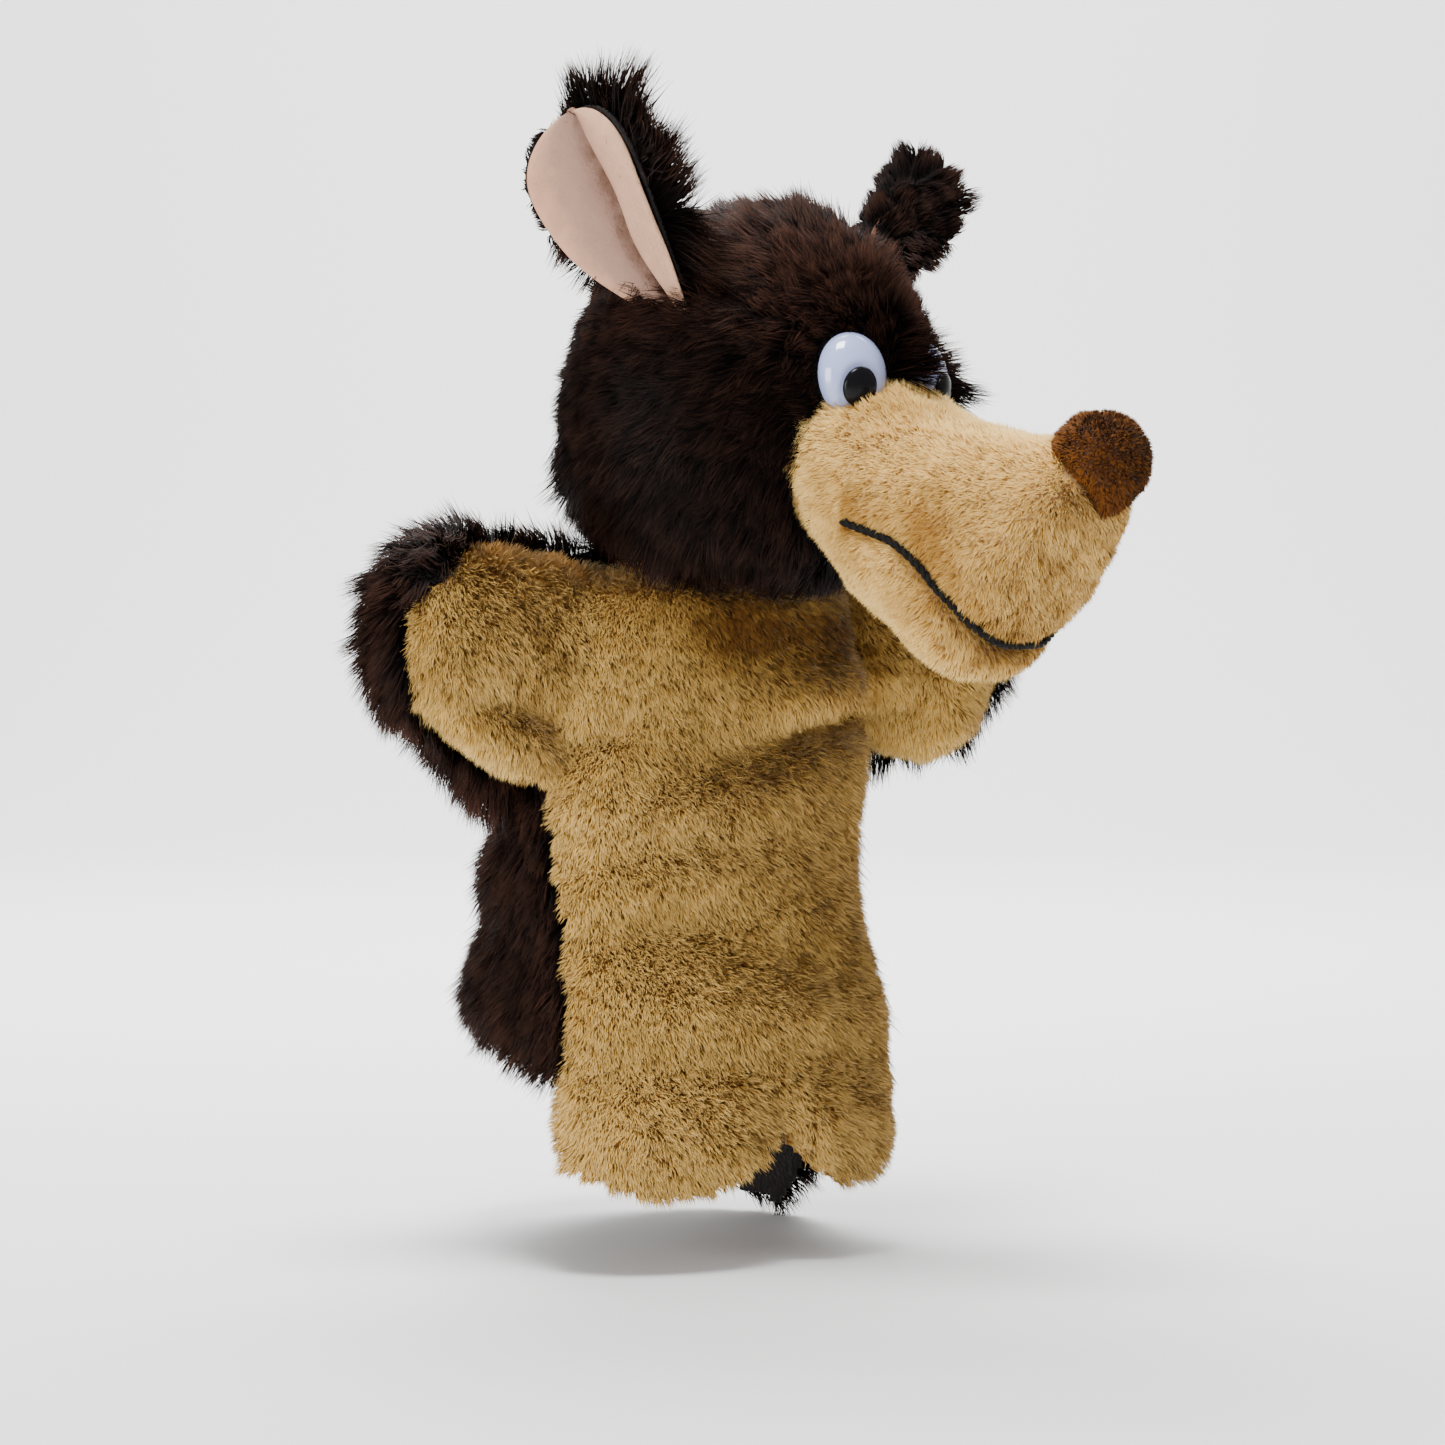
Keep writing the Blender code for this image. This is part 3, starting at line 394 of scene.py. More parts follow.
def is_front(p):
    """Whether a point of the skin is on the tan side of the seam."""
    for side, word in ((-1, "right"), (1, "left")):
        arm_at, arm_way, _ = SHOULDER_LINE[side]
        if (p - arm_at).dot(arm_way) > 0 and p.z > 0.06:
            out = min(max((p - SHOULDER[side]).dot(arm_way), 0), 0.05)
            fold = max(out - SLEEVE, 0) * math.sin(FOLDED[side])
            tip = min(max((out - 0.024) / 0.012, 0), 1)
            ridge = min(max((p.z - SHOULDER[side].z - 0.008) / 0.008, 0), 1)
            return p.y < SHOULDER[side].y - fold + 0.001 - 0.0075 * tip * tip * (3 - 2 * tip) - 0.0035 * ridge
    drawn = 0.0045 * min(max((0.085 - p.z) / 0.05, 0), 1) * min(max((p.z - 0.002) / 0.008, 0), 1) if p.x < 0 else 0
    return p.y < seam_y(p.z) + 0.001 - drawn


def hem_at(p):
    """How low the brown back hangs, by the turn round the body from its back: high behind the right hip."""
    turn = math.degrees(math.atan2(p.x, p.y + 0.02))
    return float(np.interp(turn, [-100, -60, -31, -5, 20, 37, 47, 56, 67, 100], [0.003, 0.010, 0.017, 0.0, -0.024, -0.036, -0.0385, -0.028, -0.014, -0.008]))


def piece_of(skin, name, keep, material):
    """A piece cut from a skin by the middles of its faces, as a new object."""
    cut = skin.copy()
    waste = [f for f in cut.faces if not keep(f.calc_center_median())]
    bmesh.ops.delete(cut, geom=waste, context="FACES")
    mesh = bpy.data.meshes.new(name)
    cut.to_mesh(mesh)
    cut.free()
    mesh.materials.append(material)
    mesh.shade_smooth()
    made = bpy.data.objects.new(name, mesh)
    bpy.context.scene.collection.objects.link(made)
    return made


def walled(piece, wall):
    """Gives a cut piece of cloth its thickness, inwards."""
    form = bmesh.new()
    form.from_mesh(piece.data)
    form.normal_update()
    inner = [(v, v.normal.copy()) for v in form.verts]
    faces = form.faces[:]
    bmesh.ops.extrude_face_region(form, geom=faces, use_keep_orig=True)
    for v, normal in inner:
        v.co -= normal * wall
    bmesh.ops.reverse_faces(form, faces=faces)
    bmesh.ops.recalc_face_normals(form, faces=form.faces)
    form.to_mesh(piece.data)
    form.free()


FOOT_LOBES = {-1: (-0.026, 0.0337, 0.0250), 1: (0.0255, 0.0242, 0.0245)}  # middle x, half width, how far it hangs


def in_foot(p, side):
    """Whether a point of the front lies in a foot's lobe, under the hem line."""
    middle, half, drop = FOOT_LOBES[side]
    if p.z > 0.0:
        return True
    return (abs(p.x - middle) / half) ** 1.5 + (p.z / drop) ** 2 < 1


def glove_part(name, front, test, material):
    return piece_of(glove_skin, name, lambda p: is_front(p) == front and test(p), material)


glove_pieces = {
    "front_cloth": glove_part("front_cloth", True, lambda p: region_of(p) == "body" and p.z > FOOT_LINE, TAN_BACKING),
    "back_cloth": glove_part("back_cloth", False, lambda p: region_of(p) == "body" and p.z > hem_at(p), BROWN_BACKING),
    "right_foot_cloth": glove_part(
        "right_foot_cloth", True, lambda p: p.z <= FOOT_LINE and p.x < FOOT_SPLIT and in_foot(p, -1), TAN_BACKING
    ),
    "left_foot_cloth": glove_part(
        "left_foot_cloth", True, lambda p: p.z <= FOOT_LINE and p.x >= FOOT_SPLIT and in_foot(p, 1), TAN_BACKING
    ),
}
for word in ("right", "left"):
    for zone in ("shoulder", "mitten"):
        for front, cloth, material in ((True, "front", TAN_BACKING), (False, "back", BROWN_BACKING)):
            name = f"{word}_{zone}_{cloth}"
            glove_pieces[name] = glove_part(
                name, front, lambda p, zone=zone, word=word: region_of(p) == f"{word}_{zone}", material
            )
glove_skin.free()


def follow(piece, name):
    """Bakes the placement of an arm's or a foot's glove piece, or the pile on it, into its mesh, and lets the body's
    pieces and their pile move with the torso.
    """
    side = -1 if name.startswith("right") else 1
    word = "right" if side < 0 else "left"
    if "_shoulder_" in name:
        at, way, reach = SHOULDER_LINE[side]
        word + "_upper_arm"
        at + way * reach
        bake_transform(piece)
    elif "_mitten_" in name:
        at, way, reach = MITTEN_LINE[side]
        word + "_upper_arm"
        word + "_paw"
        at + way * reach
        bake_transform(piece)
    elif "_foot_" in name:
        word + "_foot"
        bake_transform(piece)
    else:
        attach(piece, "torso")


# ---------------------------------------------------------------- pile
# Every plush here is a pile of fibres tied into the backing. Each fibre is a thin strip that tapers to a point,
# leans the way the cloth is brushed, and gathers with its neighbours into tufts.


def waves(points, size, seed):
    """A smooth random number for each point, about -1 to 1, that changes over a size."""
    dice = np.random.default_rng(seed)
    ways = dice.normal(size=(9, 3))
    ways *= (2 * np.pi / size) * dice.uniform(0.6, 1.5, (9, 1)) / np.linalg.norm(ways, axis=1, keepdims=True)
    return np.sin(points @ ways.T + dice.uniform(0, 6.28, 9)).sum(1) / 4.5


def unit(v):
    return v / np.maximum(np.linalg.norm(v, axis=1, keepdims=True), 1e-9)


def grown(
    name, cloths, material, per_mm2, length, width, lean, brush, tuft=0.003, gather=0.55, seed=1, steps=3, droop=0.0,
    where=None, long=None, tone=0.25, wild=0.25, shade=None, stand=None,
):
    """The pile on some cloth, as one mesh of tapered strips. lean is how far the fibres lie over, at root and tip,
    in radians, brush gives the way they lie at each point, where thins them and long scales them."""
    dice = np.random.default_rng(seed)
    roots, normals = [], []
    for cloth in cloths:
        mesh = cloth.data
        mesh.calc_loop_triangles()
        places = np.zeros(len(mesh.vertices) * 3)
        mesh.vertices.foreach_get("co", places)
        places = places.reshape(-1, 3)
        upright = np.zeros(len(mesh.vertices) * 3)
        mesh.vertices.foreach_get("normal", upright)
        upright = upright.reshape(-1, 3)
        corners = np.zeros(len(mesh.loop_triangles) * 3, np.int32)
        mesh.loop_triangles.foreach_get("vertices", corners)
        a, b, c = corners.reshape(-1, 3).T
        areas = np.linalg.norm(np.cross(places[b] - places[a], places[c] - places[a]), axis=1) / 2
        count = int(areas.sum() * 1e6 * per_mm2)
        chosen = dice.choice(len(areas), count, p=areas / areas.sum())
        u, v = dice.random((2, count, 1))
        u, v = np.where(u + v > 1, 1 - u, u), np.where(u + v > 1, 1 - v, v)
        a, b, c = a[chosen], b[chosen], c[chosen]
        roots.append(places[a] + u * (places[b] - places[a]) + v * (places[c] - places[a]))
        normals.append(upright[a] + u * (upright[b] - upright[a]) + v * (upright[c] - upright[a]))
    roots, normals = np.vstack(roots), unit(np.vstack(normals))
    if where is not None:
        kept = dice.random(len(roots)) < where(roots)
        roots, normals = roots[kept], normals[kept]
    count = len(roots)
    way = brush(roots, normals)
    way = way - (way * normals).sum(1, keepdims=True) * normals
    stray = dice.normal(size=(count, 3)) * wild
    swirl = np.stack([waves(roots, 0.012, seed + k) for k in (11, 12, 13)], 1) * 0.35
    way = unit(unit(way) + swirl + stray * 0.6)
    reach = length * dice.uniform(0.72, 1.12, count) * (1 + 0.18 * waves(roots, 0.009, seed + 5))
    if long is not None:
        reach = reach * long(roots)
    lift = 0.18 * waves(roots, 0.007, seed + 8)
    lying = 1.0 if stand is None else 1 - stand(roots)
    first, last = (lean[0] * lying + lift)[:, None], (lean[1] * lying + lift)[:, None]
    first = unit(normals * np.cos(first) + way * np.sin(first) + stray * 0.5)
    last = unit(normals * np.cos(last) + way * np.sin(last) + stray * 0.8 + np.array([0, 0, -droop]))
    at = np.linspace(0, 1, steps)
    path = roots[:, None] + reach[:, None, None] * (
        first[:, None] * (at - at**2 / 2)[None, :, None] + last[:, None] * (at**2 / 2)[None, :, None]
    )
    # tufts: each fibre's tip is drawn to that of the nearest tuft's middle
    leaders = dice.choice(count, max(int(count / max(per_mm2 * tuft**2 * 1e6, 1)), 1), replace=False)
    tree = KDTree(len(leaders))
    for i, k in enumerate(leaders):
        tree.insert(roots[k], i)
    tree.balance()
    nearest = leaders[np.array([tree.find(p)[1] for p in roots])]
    pull = gather * dice.uniform(0.5, 1.0, count)
    path += (pull[:, None] * at[None] ** 1.3)[:, :, None] * (path[nearest] - path)
    path[:, 0] -= normals * 0.0004
    along = unit(path[:, -1] - path[:, 0])
    across = unit(np.cross(along, normals) + 1e-6)
    up = np.cross(across, along)
    turn = dice.normal(size=count) * 0.45
    turn[dice.random(count) < 0.3] += 1.2
    across = across * np.cos(turn)[:, None] + up * np.sin(turn)[:, None]
    wide = width * dice.uniform(0.7, 1.25, count)
    taper = [1.0, 0.85, 0.6][: steps - 1]
    half = (wide[:, None] * np.array(taper)[None] / 2)[:, :, None] * across[:, None]
    left, right = path[:, :-1] - half, path[:, :-1] + half
    own = 2 * (steps - 1) + 1
    points = np.empty((count, own, 3))
    points[:, 0:-1:2], points[:, 1:-1:2], points[:, -1] = left, right, path[:, -1]
    base = (np.arange(count) * own)[:, None]
    quads = np.concatenate([base + np.array([2 * k, 2 * k + 1, 2 * k + 3, 2 * k + 2]) for k in range(steps - 2)], 1)
    loops = np.concatenate([quads, base + np.array([own - 3, own - 2, own - 1])], 1)
    sizes = np.tile([4] * (steps - 2) + [3], count)
    hue = 0.5 + tone * (dice.random(count) - 0.5)
    hue += min(tone, 0.2) * waves(roots, 0.02, seed + 3) + 0.12 * waves(roots, 0.006, seed + 4)
    # shade paints light and shade into the fibres' tone
    if shade is not None:
        hue = hue + shade(roots)
    hue = np.clip(hue, 0.03, 0.97)[:, None]
    # the strip's map: across it is the fibre's tone, its random tone with the painted shade and highlight from shade
    # added, along it root to tip
    us = np.concatenate([np.tile([-0.01, 0.01, 0.01, -0.01], steps - 2), [-0.01, 0.01, 0.0]])[None] + hue
    vs = np.concatenate([[at[k], at[k], at[k + 1], at[k + 1]] for k in range(steps - 2)] + [[at[-2], at[-2], at[-1]]])
    map_points = np.stack([us, np.tile(vs * 0.96 + 0.02, (count, 1))], 2)
    mesh = bpy.data.meshes.new(name)
    mesh.vertices.add(count * own)
    mesh.vertices.foreach_set("co", points.astype(np.float32).ravel())
    mesh.loops.add(loops.size)
    mesh.loops.foreach_set("vertex_index", loops.astype(np.int32).ravel())
    mesh.polygons.add(len(sizes))
    mesh.polygons.foreach_set("loop_start", np.concatenate([[0], np.cumsum(sizes)[:-1]]).astype(np.int32))
    mesh.polygons.foreach_set("loop_total", sizes.astype(np.int32))
    mesh.update(calc_edges=True)
    mesh.uv_layers.new(name="OFBake").data.foreach_set("uv", map_points.astype(np.float32).ravel())
    mesh.shade_smooth()
    # a fibre is round, so its light falls as on the skin that it grows from
    soft = unit(normals + 0.35 * up * np.sign((up * normals).sum(1, keepdims=True)))
    mesh.normals_split_custom_set_from_vertices(np.repeat(soft, own, axis=0).astype(np.float32))
    mesh.materials.append(material)
    made = bpy.data.objects.new(name, mesh)
    bpy.context.scene.collection.objects.link(made)
    print("PILE", name, count * (2 * steps - 3), round(areas.sum() * 1e6))
    return made


def fibre(name, root, body, tip, deep, dull, pale, roughness, sheen, gloss=0.15):
    """A pile's material: dark at the root, lighter at the tip, and each fibre lighter or darker, from deep to pale, by
    its random tone and by the painted shade and highlight laid into that tone.
    """
    dye = Dye(name, roughness, Sheen_Weight=sheen, Sheen_Roughness=0.35, Sheen_Tint=(1.0, 0.80, 0.50, 1), Specular_IOR_Level=gloss)
    flat = dye.node("ShaderNodeUVMap", {"uv_map": "OFBake"}).outputs["UV"]
    split = dye.node("ShaderNodeSeparateXYZ", {}, {"Vector": flat})
    along = dye.ramp(split.outputs["Y"], [(0.0, root), (0.5, body), (1.0, tip)])
    # across the strip: the fibre's tone, random and with a pile's painted shade and highlight
    lit = dye.ramp(split.outputs["X"], [(0.0, deep), (0.2, dull), (0.5, (1.0, 1.0, 1.0)), (1.0, pale)])
    made = dye.node("ShaderNodeMix", {"data_type": "RGBA", "blend_type": "MULTIPLY"}, {"Factor": 1.0, "A": along, "B": lit})
    dye.base(made.outputs["Result"])
    return dye.material


TAN_PILE = fibre(
    "tan_pile", (0.42, 0.21, 0.034), (0.60, 0.34, 0.070), (0.89, 0.62, 0.215),
    (0.20, 0.11, 0.05), (0.62, 0.53, 0.40), (1.25, 1.3, 1.5), 0.85, 0.30,
)
BROWN_PILE = fibre(
    "brown_pile", (0.0012, 0.0006, 0.0005), (0.004, 0.0017, 0.0012), (0.046, 0.0205, 0.0135),
    (0.10, 0.09, 0.08), (0.42, 0.42, 0.42), (2.8, 2.6, 2.4), 0.5, 0.0, 0.05,
)


def straight_down(points, normals):
    return np.tile([0.0, 0.0, -1.0], (len(points), 1))


def over_arm(side):
    """Brushed out along an arm and down."""
    return lambda points, normals: np.tile([0.3 * side, 0.1, -1.0], (len(points), 1))


# the width and the length of each cloth before it was sewn up
CUTS = {
    "front_cloth": (0.104, 0.136), "back_cloth": (0.153, 0.160),
    "right_shoulder_front": (0.046, 0.0215), "right_shoulder_back": (0.058, 0.0250),
    "right_mitten_front": (0.046, 0.0310), "right_mitten_back": (0.055, 0.0450),
    "left_shoulder_front": (0.046, 0.0180), "left_shoulder_back": (0.050, 0.0210),
    "left_mitten_front": (0.046, 0.0285), "left_mitten_back": (0.050, 0.0350),
}


def round_neck(points):
    """Longer at the nape and along the shoulders' tops."""
    return 0.88 + 0.5 * np.clip((points[:, 2] - 0.112) / 0.01, 0, 1) * np.exp(-((points[:, 0] / 0.03) ** 4))


def painted_light_on_tan(points):
    """Painted light on the tan pile: painted shade in the front's dents and a painted highlight over its swells, a
    painted shadow of the head along the throat, a lighter band at 66 mm height, and a painted highlight over the feet's
    bulging lobes.
    """
    dark = np.zeros(len(points))
    # painted shade in each dent of FRONT_FOLDS and a painted highlight on each swell
    for place, half, turn, depth in FRONT_FOLDS:
        dx, dz = points[:, 0] - place[0], points[:, 2] - place[1]
        a, b = dx * np.cos(turn) + dz * np.sin(turn), -dx * np.sin(turn) + dz * np.cos(turn)
        dark += 0.022 * depth * np.exp(-((a / half[0]) ** 2) - (b / half[1]) ** 2)
    # painted shadow of the head: a dark band along the throat, under the head's lower edge
    painted_head_shadow = -0.50 * np.exp(-(((points[:, 2] + 0.2 * points[:, 0] - 0.113) / 0.012) ** 2) - ((points[:, 0] - 0.010) / 0.034) ** 4)
    # lighter in a band at 66 mm height, and a painted highlight over the feet's bulging lobes
    cheek = 0.10 * np.exp(-(((points[:, 2] - 0.066) / 0.012) ** 2))
    return np.clip(dark + painted_head_shadow + cheek, -0.50, 0.15) + 0.12 * np.exp(-(((points[:, 2] + 0.012) / 0.012) ** 2))


for name, cloth in list(glove_pieces.items()):
    side = -1 if name.startswith("right") else 1
    is_arm = "_shoulder_" in name or "_mitten_" in name
    is_tan = name.endswith("_front") or "_foot_" in name or name == "front_cloth"
    brush = over_arm(side) if is_arm else straight_down
    coats = 1 if is_arm or "_foot_" in name else 2
    for coat in range(coats):
        label, seed = name + "_pile" + (f"_{coat + 1}" if coats > 1 else ""), 20 + len(name) + coat * 1000
        if is_tan:
            # the tan pile's tone takes painted shade and highlights from its shade function
            pile = grown(
                label, [cloth], TAN_PILE, 9.0 / coats, 0.0042, 0.00026, (0.2, 0.7), brush,
                tuft=0.0020, gather=0.26, seed=seed, droop=0.15, wild=0.26, tone=0.12, shade=painted_light_on_tan,
            )
        else:
            pile = grown(
                label, [cloth], BROWN_PILE, 4.5 if is_arm else 3.6 / coats, 0.0145 if is_arm else 0.0125, 0.00032,
                (0.3, 0.85) if is_arm else (0.6, 1.2), brush, tuft=0.0032, gather=0.62, seed=seed, droop=0.3, wild=0.26,
                long=round_neck,
            )
        follow(pile, name)
    cut_area = sum(face.area for face in cloth.data.polygons)
    walled(cloth, 0.0012)
    follow(cloth, name)
    if "_foot_" in name:
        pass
    else:
        wide, long = CUTS[name]
        0.94 * wide * long
        print("CUT", name, round(cut_area * 1e6), wide * long * 0.94e6)

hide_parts("front_panel")
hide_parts("back_panel")
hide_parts("right_foot_flap")
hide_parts("left_foot_flap")
for word in ("right", "left"):
    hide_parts(word + "_sleeve_front")
    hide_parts(word + "_sleeve_back")
    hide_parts(word + "_paw_front")
    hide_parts(word + "_paw_back")

# ---------------------------------------------------------------- head
# A dome of long dark plush, stuffed firm round the finger tube: two sides and a gusset over the crown.
# The pile is brushed back from the face and hangs over the neck seam.

HEAD = Matrix.Translation((0, NECK_Y, GLOVE_HEIGHT)) @ Euler((math.radians(18), 0, math.radians(20))).to_matrix().to_4x4()
HEAD_RADIUS, HEAD_MIDDLE, HEAD_UP, HEAD_DOWN = 0.0425, 0.0445, 0.043, 0.0375
HEAD_TURN = np.array(HEAD.to_3x3())
HEAD_INTO = np.array(HEAD.inverted())


def head_view(points):
    """World points as the head's own: the neck's pivot at the origin and the face towards -Y."""
    return points @ HEAD_INTO[:3, :3].T + HEAD_INTO[:3, 3]


head_form = bmesh.new()
bmesh.ops.create_uvsphere(head_form, u_segments=64, v_segments=40, radius=1)
for v in head_form.verts:
    x, y, z = v.co
    down = z < 0
    squeeze = 1 / (abs(math.hypot(x, y)) ** 3 + abs(z) ** 3) ** (1 / 3) if down else 1.0
    v.co = Vector(
        (x * HEAD_RADIUS * squeeze, y * HEAD_RADIUS * squeeze, HEAD_MIDDLE + z * (HEAD_DOWN if down else HEAD_UP) * squeeze)
    )
bmesh.ops.delete(head_form, geom=[f for f in head_form.faces if f.calc_center_median().z < HEAD_MIDDLE - HEAD_DOWN + 0.0005], context="FACES")
bmesh.ops.transform(head_form, matrix=HEAD, verts=head_form.verts)
bmesh.ops.recalc_face_normals(head_form, faces=head_form.faces)
head_mesh = bpy.data.meshes.new("head_cloth")
head_form.to_mesh(head_mesh)
head_form.free()
head_mesh.materials.append(BROWN_BACKING)
head_mesh.shade_smooth()
head_cloth = bpy.data.objects.new("head_cloth", head_mesh)
bpy.context.scene.collection.objects.link(head_cloth)

EYE_X, EYE_HEIGHT = 0.0135, 0.0605
EYE_HALF_WIDTH, EYE_HALF_HEIGHT, EYE_DOME = 0.0094, 0.0103, 0.0062


def head_surface(place):
    """The point and the normal of the dome over a direction from the head's middle."""
    d = Vector(place)
    up = HEAD_UP if d.z > 0 else HEAD_DOWN
    point = Vector((0, 0, HEAD_MIDDLE)) + d / math.sqrt((d.x**2 + d.y**2) / HEAD_RADIUS**2 + d.z**2 / up**2)
    normal = Vector((point.x / HEAD_RADIUS**2, point.y / HEAD_RADIUS**2, (point.z - HEAD_MIDDLE) / up**2))
    return point, normal.normalized()


EYE_SEAT = {}
for side in (-1, 1):
    level = EYE_HEIGHT - HEAD_MIDDLE
    around = HEAD_RADIUS * math.sqrt(1 - (level / HEAD_UP) ** 2)
    place, outward = head_surface((side * EYE_X, -math.sqrt(around**2 - EYE_X**2), level))
    EYE_SEAT[side] = Matrix.Translation(place + outward * 0.0004 + Vector((side * 0.0008, 0, -0.0008))) @ (
        outward.to_track_quat("Z", "Y").to_matrix().to_4x4()
    )

MUZZLE_REACH, MUZZLE_HALF, MUZZLE_TOP, MUZZLE_BOTTOM = 0.1065, 0.027, 0.0625, 0.001
MUZZLE_ROOT = 0.8 * HEAD_RADIUS


def bare_face(points):
    """None under the muzzle and the eyes, and all of the pile elsewhere."""
    p = head_view(points)
    near_muzzle = (np.abs(p[:, 0]) / 0.0235) ** 2 + ((p[:, 2] - 0.040) / 0.0205) ** 2 < 1
    keep = ~(near_muzzle & (p[:, 1] < -0.02))
    for side in (-1, 1):
        seat = np.array((HEAD @ EYE_SEAT[side]).inverted())
        q = points @ seat[:3, :3].T + seat[:3, 3]
        keep &= (q[:, 0] / 0.0086) ** 2 + (q[:, 1] / 0.0096) ** 2 > (1 if side < 0 else 0.6)
    return keep.astype(float)


def from_face(points, normals):
    """Brushed back from between the eyes, and down over the cheeks and the neck."""
    p = head_view(points)
    way = p - np.array([0, -0.040, 0.062])
    way = unit(way) + np.array([0, 0.25, -0.35])
    low = np.clip((0.045 - p[:, 2]) / 0.03, 0, 1)[:, None]
    way = way * (1 - low) + np.array([0, 0.15, -1.0]) * low
    return way @ HEAD_TURN.T


def head_long(points):
    """Shorter round the eyes, on the forehead and over the back of the head, longer between the eyes, on the left brow
    and at the neck.
    """
    p = head_view(points)
    size = np.ones(len(p))
    for side in (-1, 1):
        eye = np.array(EYE_SEAT[side].translation)
        size *= 1 - 0.62 * np.exp(-(((p - eye) / 0.0125) ** 4).sum(1))
    back = np.clip((p[:, 1] + 0.005) / 0.02, 0, 1) * np.clip((p[:, 2] - 0.015) / 0.015, 0, 1)
    nape = np.clip((0.028 - p[:, 2]) / 0.02, 0, 1) * (p[:, 1] > -0.02)
    forehead = np.clip((p[:, 2] - 0.060) / 0.012, 0, 1) * np.clip((-0.008 - p[:, 1]) / 0.012, 0, 1)
    return (size + 0.8 * on_brow(points)) * (1 - 0.4 * back + 0.45 * nape - 0.35 * forehead)


def on_brow(points):
    """One between the eyes and on the left brow, where the pile stands up, and falling to none round them."""
    p = head_view(points)
    between = np.exp(-(((p[:, 0] - 0.002) / 0.0050) ** 2) - ((p[:, 2] - 0.066) / 0.010) ** 2)
    brow = np.exp(-(((p[:, 0] - 0.0255) / 0.0050) ** 2) - ((p[:, 2] - 0.058) / 0.006) ** 2)
    return (between + 0.8 * brow) * (p[:, 1] < 0)


def painted_head_light(points):
    """Painted light on the head's pile: paler over the crown, a painted highlight, and darker everywhere below 58 mm,
    painted shade on the cheeks and under the jaw.
    """
    p = head_view(points)
    crown = np.clip((p[:, 2] - 0.058) / 0.020, 0, 1)
    return 0.22 * crown - 0.30 * (1 - crown)


# the head's pile takes a painted highlight on the crown and painted shade below it
for k in range(2):
    head_pile = grown(
        f"head_pile_{k + 1}", [head_cloth], BROWN_PILE, 3.2, 0.0130, 0.00030, (0.7, 1.25), from_face,
        tuft=0.0046, gather=0.7, seed=71 + k * 1000, droop=0.25, tone=0.5, where=bare_face, long=head_long, stand=on_brow, wild=0.25,
        shade=painted_head_light,
    )
    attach(head_pile, "head")
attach(head_cloth, "head")
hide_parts("head_side_right", "head_side_left", "head_gusset")

# ---------------------------------------------------------------- muzzle
# A stuffed block of short cream plush, two halves over a jaw, sewn to the front of the head.
# The mouth is a pulled-in seam that a black twisted thread is laid along.

# share of the way to the front, half width, top, bottom, and how square the section is
MUZZLE_SIZES = [
    (-0.08, 0.80, 0.82, 0.38, 1.8),
    (0.00, 0.92, 0.90, 0.35, 1.8),
    (0.15, 1.02, 0.94, 0.28, 1.9),
    (0.35, 1.03, 0.880, 0.14, 2.1),
    (0.55, 1.00, 0.895, 0.04, 2.2),
    (0.74, 0.93, 0.935, 0.00, 2.2),
    (0.87, 0.80, 0.955, 0.06, 2.2),
    (0.94, 0.66, 0.925, 0.14, 2.1),
    (0.97, 0.48, 0.82, 0.23, 2.0),
    (0.98, 0.30, 0.70, 0.38, 2.0),
]



def chin_back(share, z):
    """How far the chin draws back, more towards the front and lower down."""
    return 0.0100 * min(max((share - 0.55) / 0.4, 0), 1) * min(max((0.048 - z) / 0.03, 0), 1)


def muzzle_spot(size, c, s):
    share, half, top, bottom, square = size
    tall = MUZZLE_TOP - MUZZLE_BOTTOM
    high, low = MUZZLE_BOTTOM + tall * top, MUZZLE_BOTTOM + tall * bottom
    x = MUZZLE_HALF * half * math.copysign(abs(c) ** (2 / square), c)
    z = (high + low) / 2 + (high - low) / 2 * math.copysign(abs(s) ** (2 / square), s)
    return Vector((x, chin_back(share, z) - (MUZZLE_ROOT + (MUZZLE_REACH - MUZZLE_ROOT) * share), z))


def mouth_level(y):
    share = min(max((-y - MUZZLE_ROOT) / (MUZZLE_REACH - MUZZLE_ROOT), 0), 1)
    return 0.0295 - 0.0424 * max((share - 0.45) / 0.55, 0) ** 2


muzzle_form = bmesh.new()
tube_along(muzzle_form, MUZZLE_SIZES, muzzle_spot)
muzzle_skin = bag(muzzle_form, 0.0016, 5)
muzzle_skin.normal_update()
stuffing = muzzle_skin.copy()
for v in stuffing.verts:
    v.co = HEAD @ (v.co - v.normal * 0.0042)
stuffing_mesh = bpy.data.meshes.new("muzzle_stuffing")
stuffing.to_mesh(stuffing_mesh)
stuffing.free()
muzzle_stuffing = bpy.data.objects.new("muzzle_stuffing", stuffing_mesh)
bpy.context.scene.collection.objects.link(muzzle_stuffing)
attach(muzzle_stuffing, "head")
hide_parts("muzzle_filling")
for v in muzzle_skin.verts:
    p = v.co.copy()
    off_mouth = p.z - mouth_level(p.y)
    corner = min(max((-p.y - 0.052) / 0.010, 0), 1)
    push = -2.6 * math.exp(-((off_mouth / 0.0026) ** 2)) * corner
    push += 1.1 * math.exp(-(((off_mouth + 0.010) / 0.008) ** 2)) + 0.8 * math.exp(-(((off_mouth - 0.012) / 0.010) ** 2))
    push -= 0.9 * math.exp(-((p.x / 0.0016) ** 2)) * (1 if off_mouth > 0 else 0)
    push += 0.5 * math.sin(p.y * 230 + 1) * math.sin(p.z * 170)
    v.co += v.normal * push * 0.001
    v.co = HEAD @ v.co
into_head = HEAD.inverted()
CREAM_PILE = fibre(
    "cream_pile", (0.50, 0.23, 0.035), (0.72, 0.40, 0.085), (0.92, 0.665, 0.25),
    (0.50, 0.38, 0.24), (0.70, 0.62, 0.52), (1.15, 1.2, 1.35), 0.85, 0.15,
)


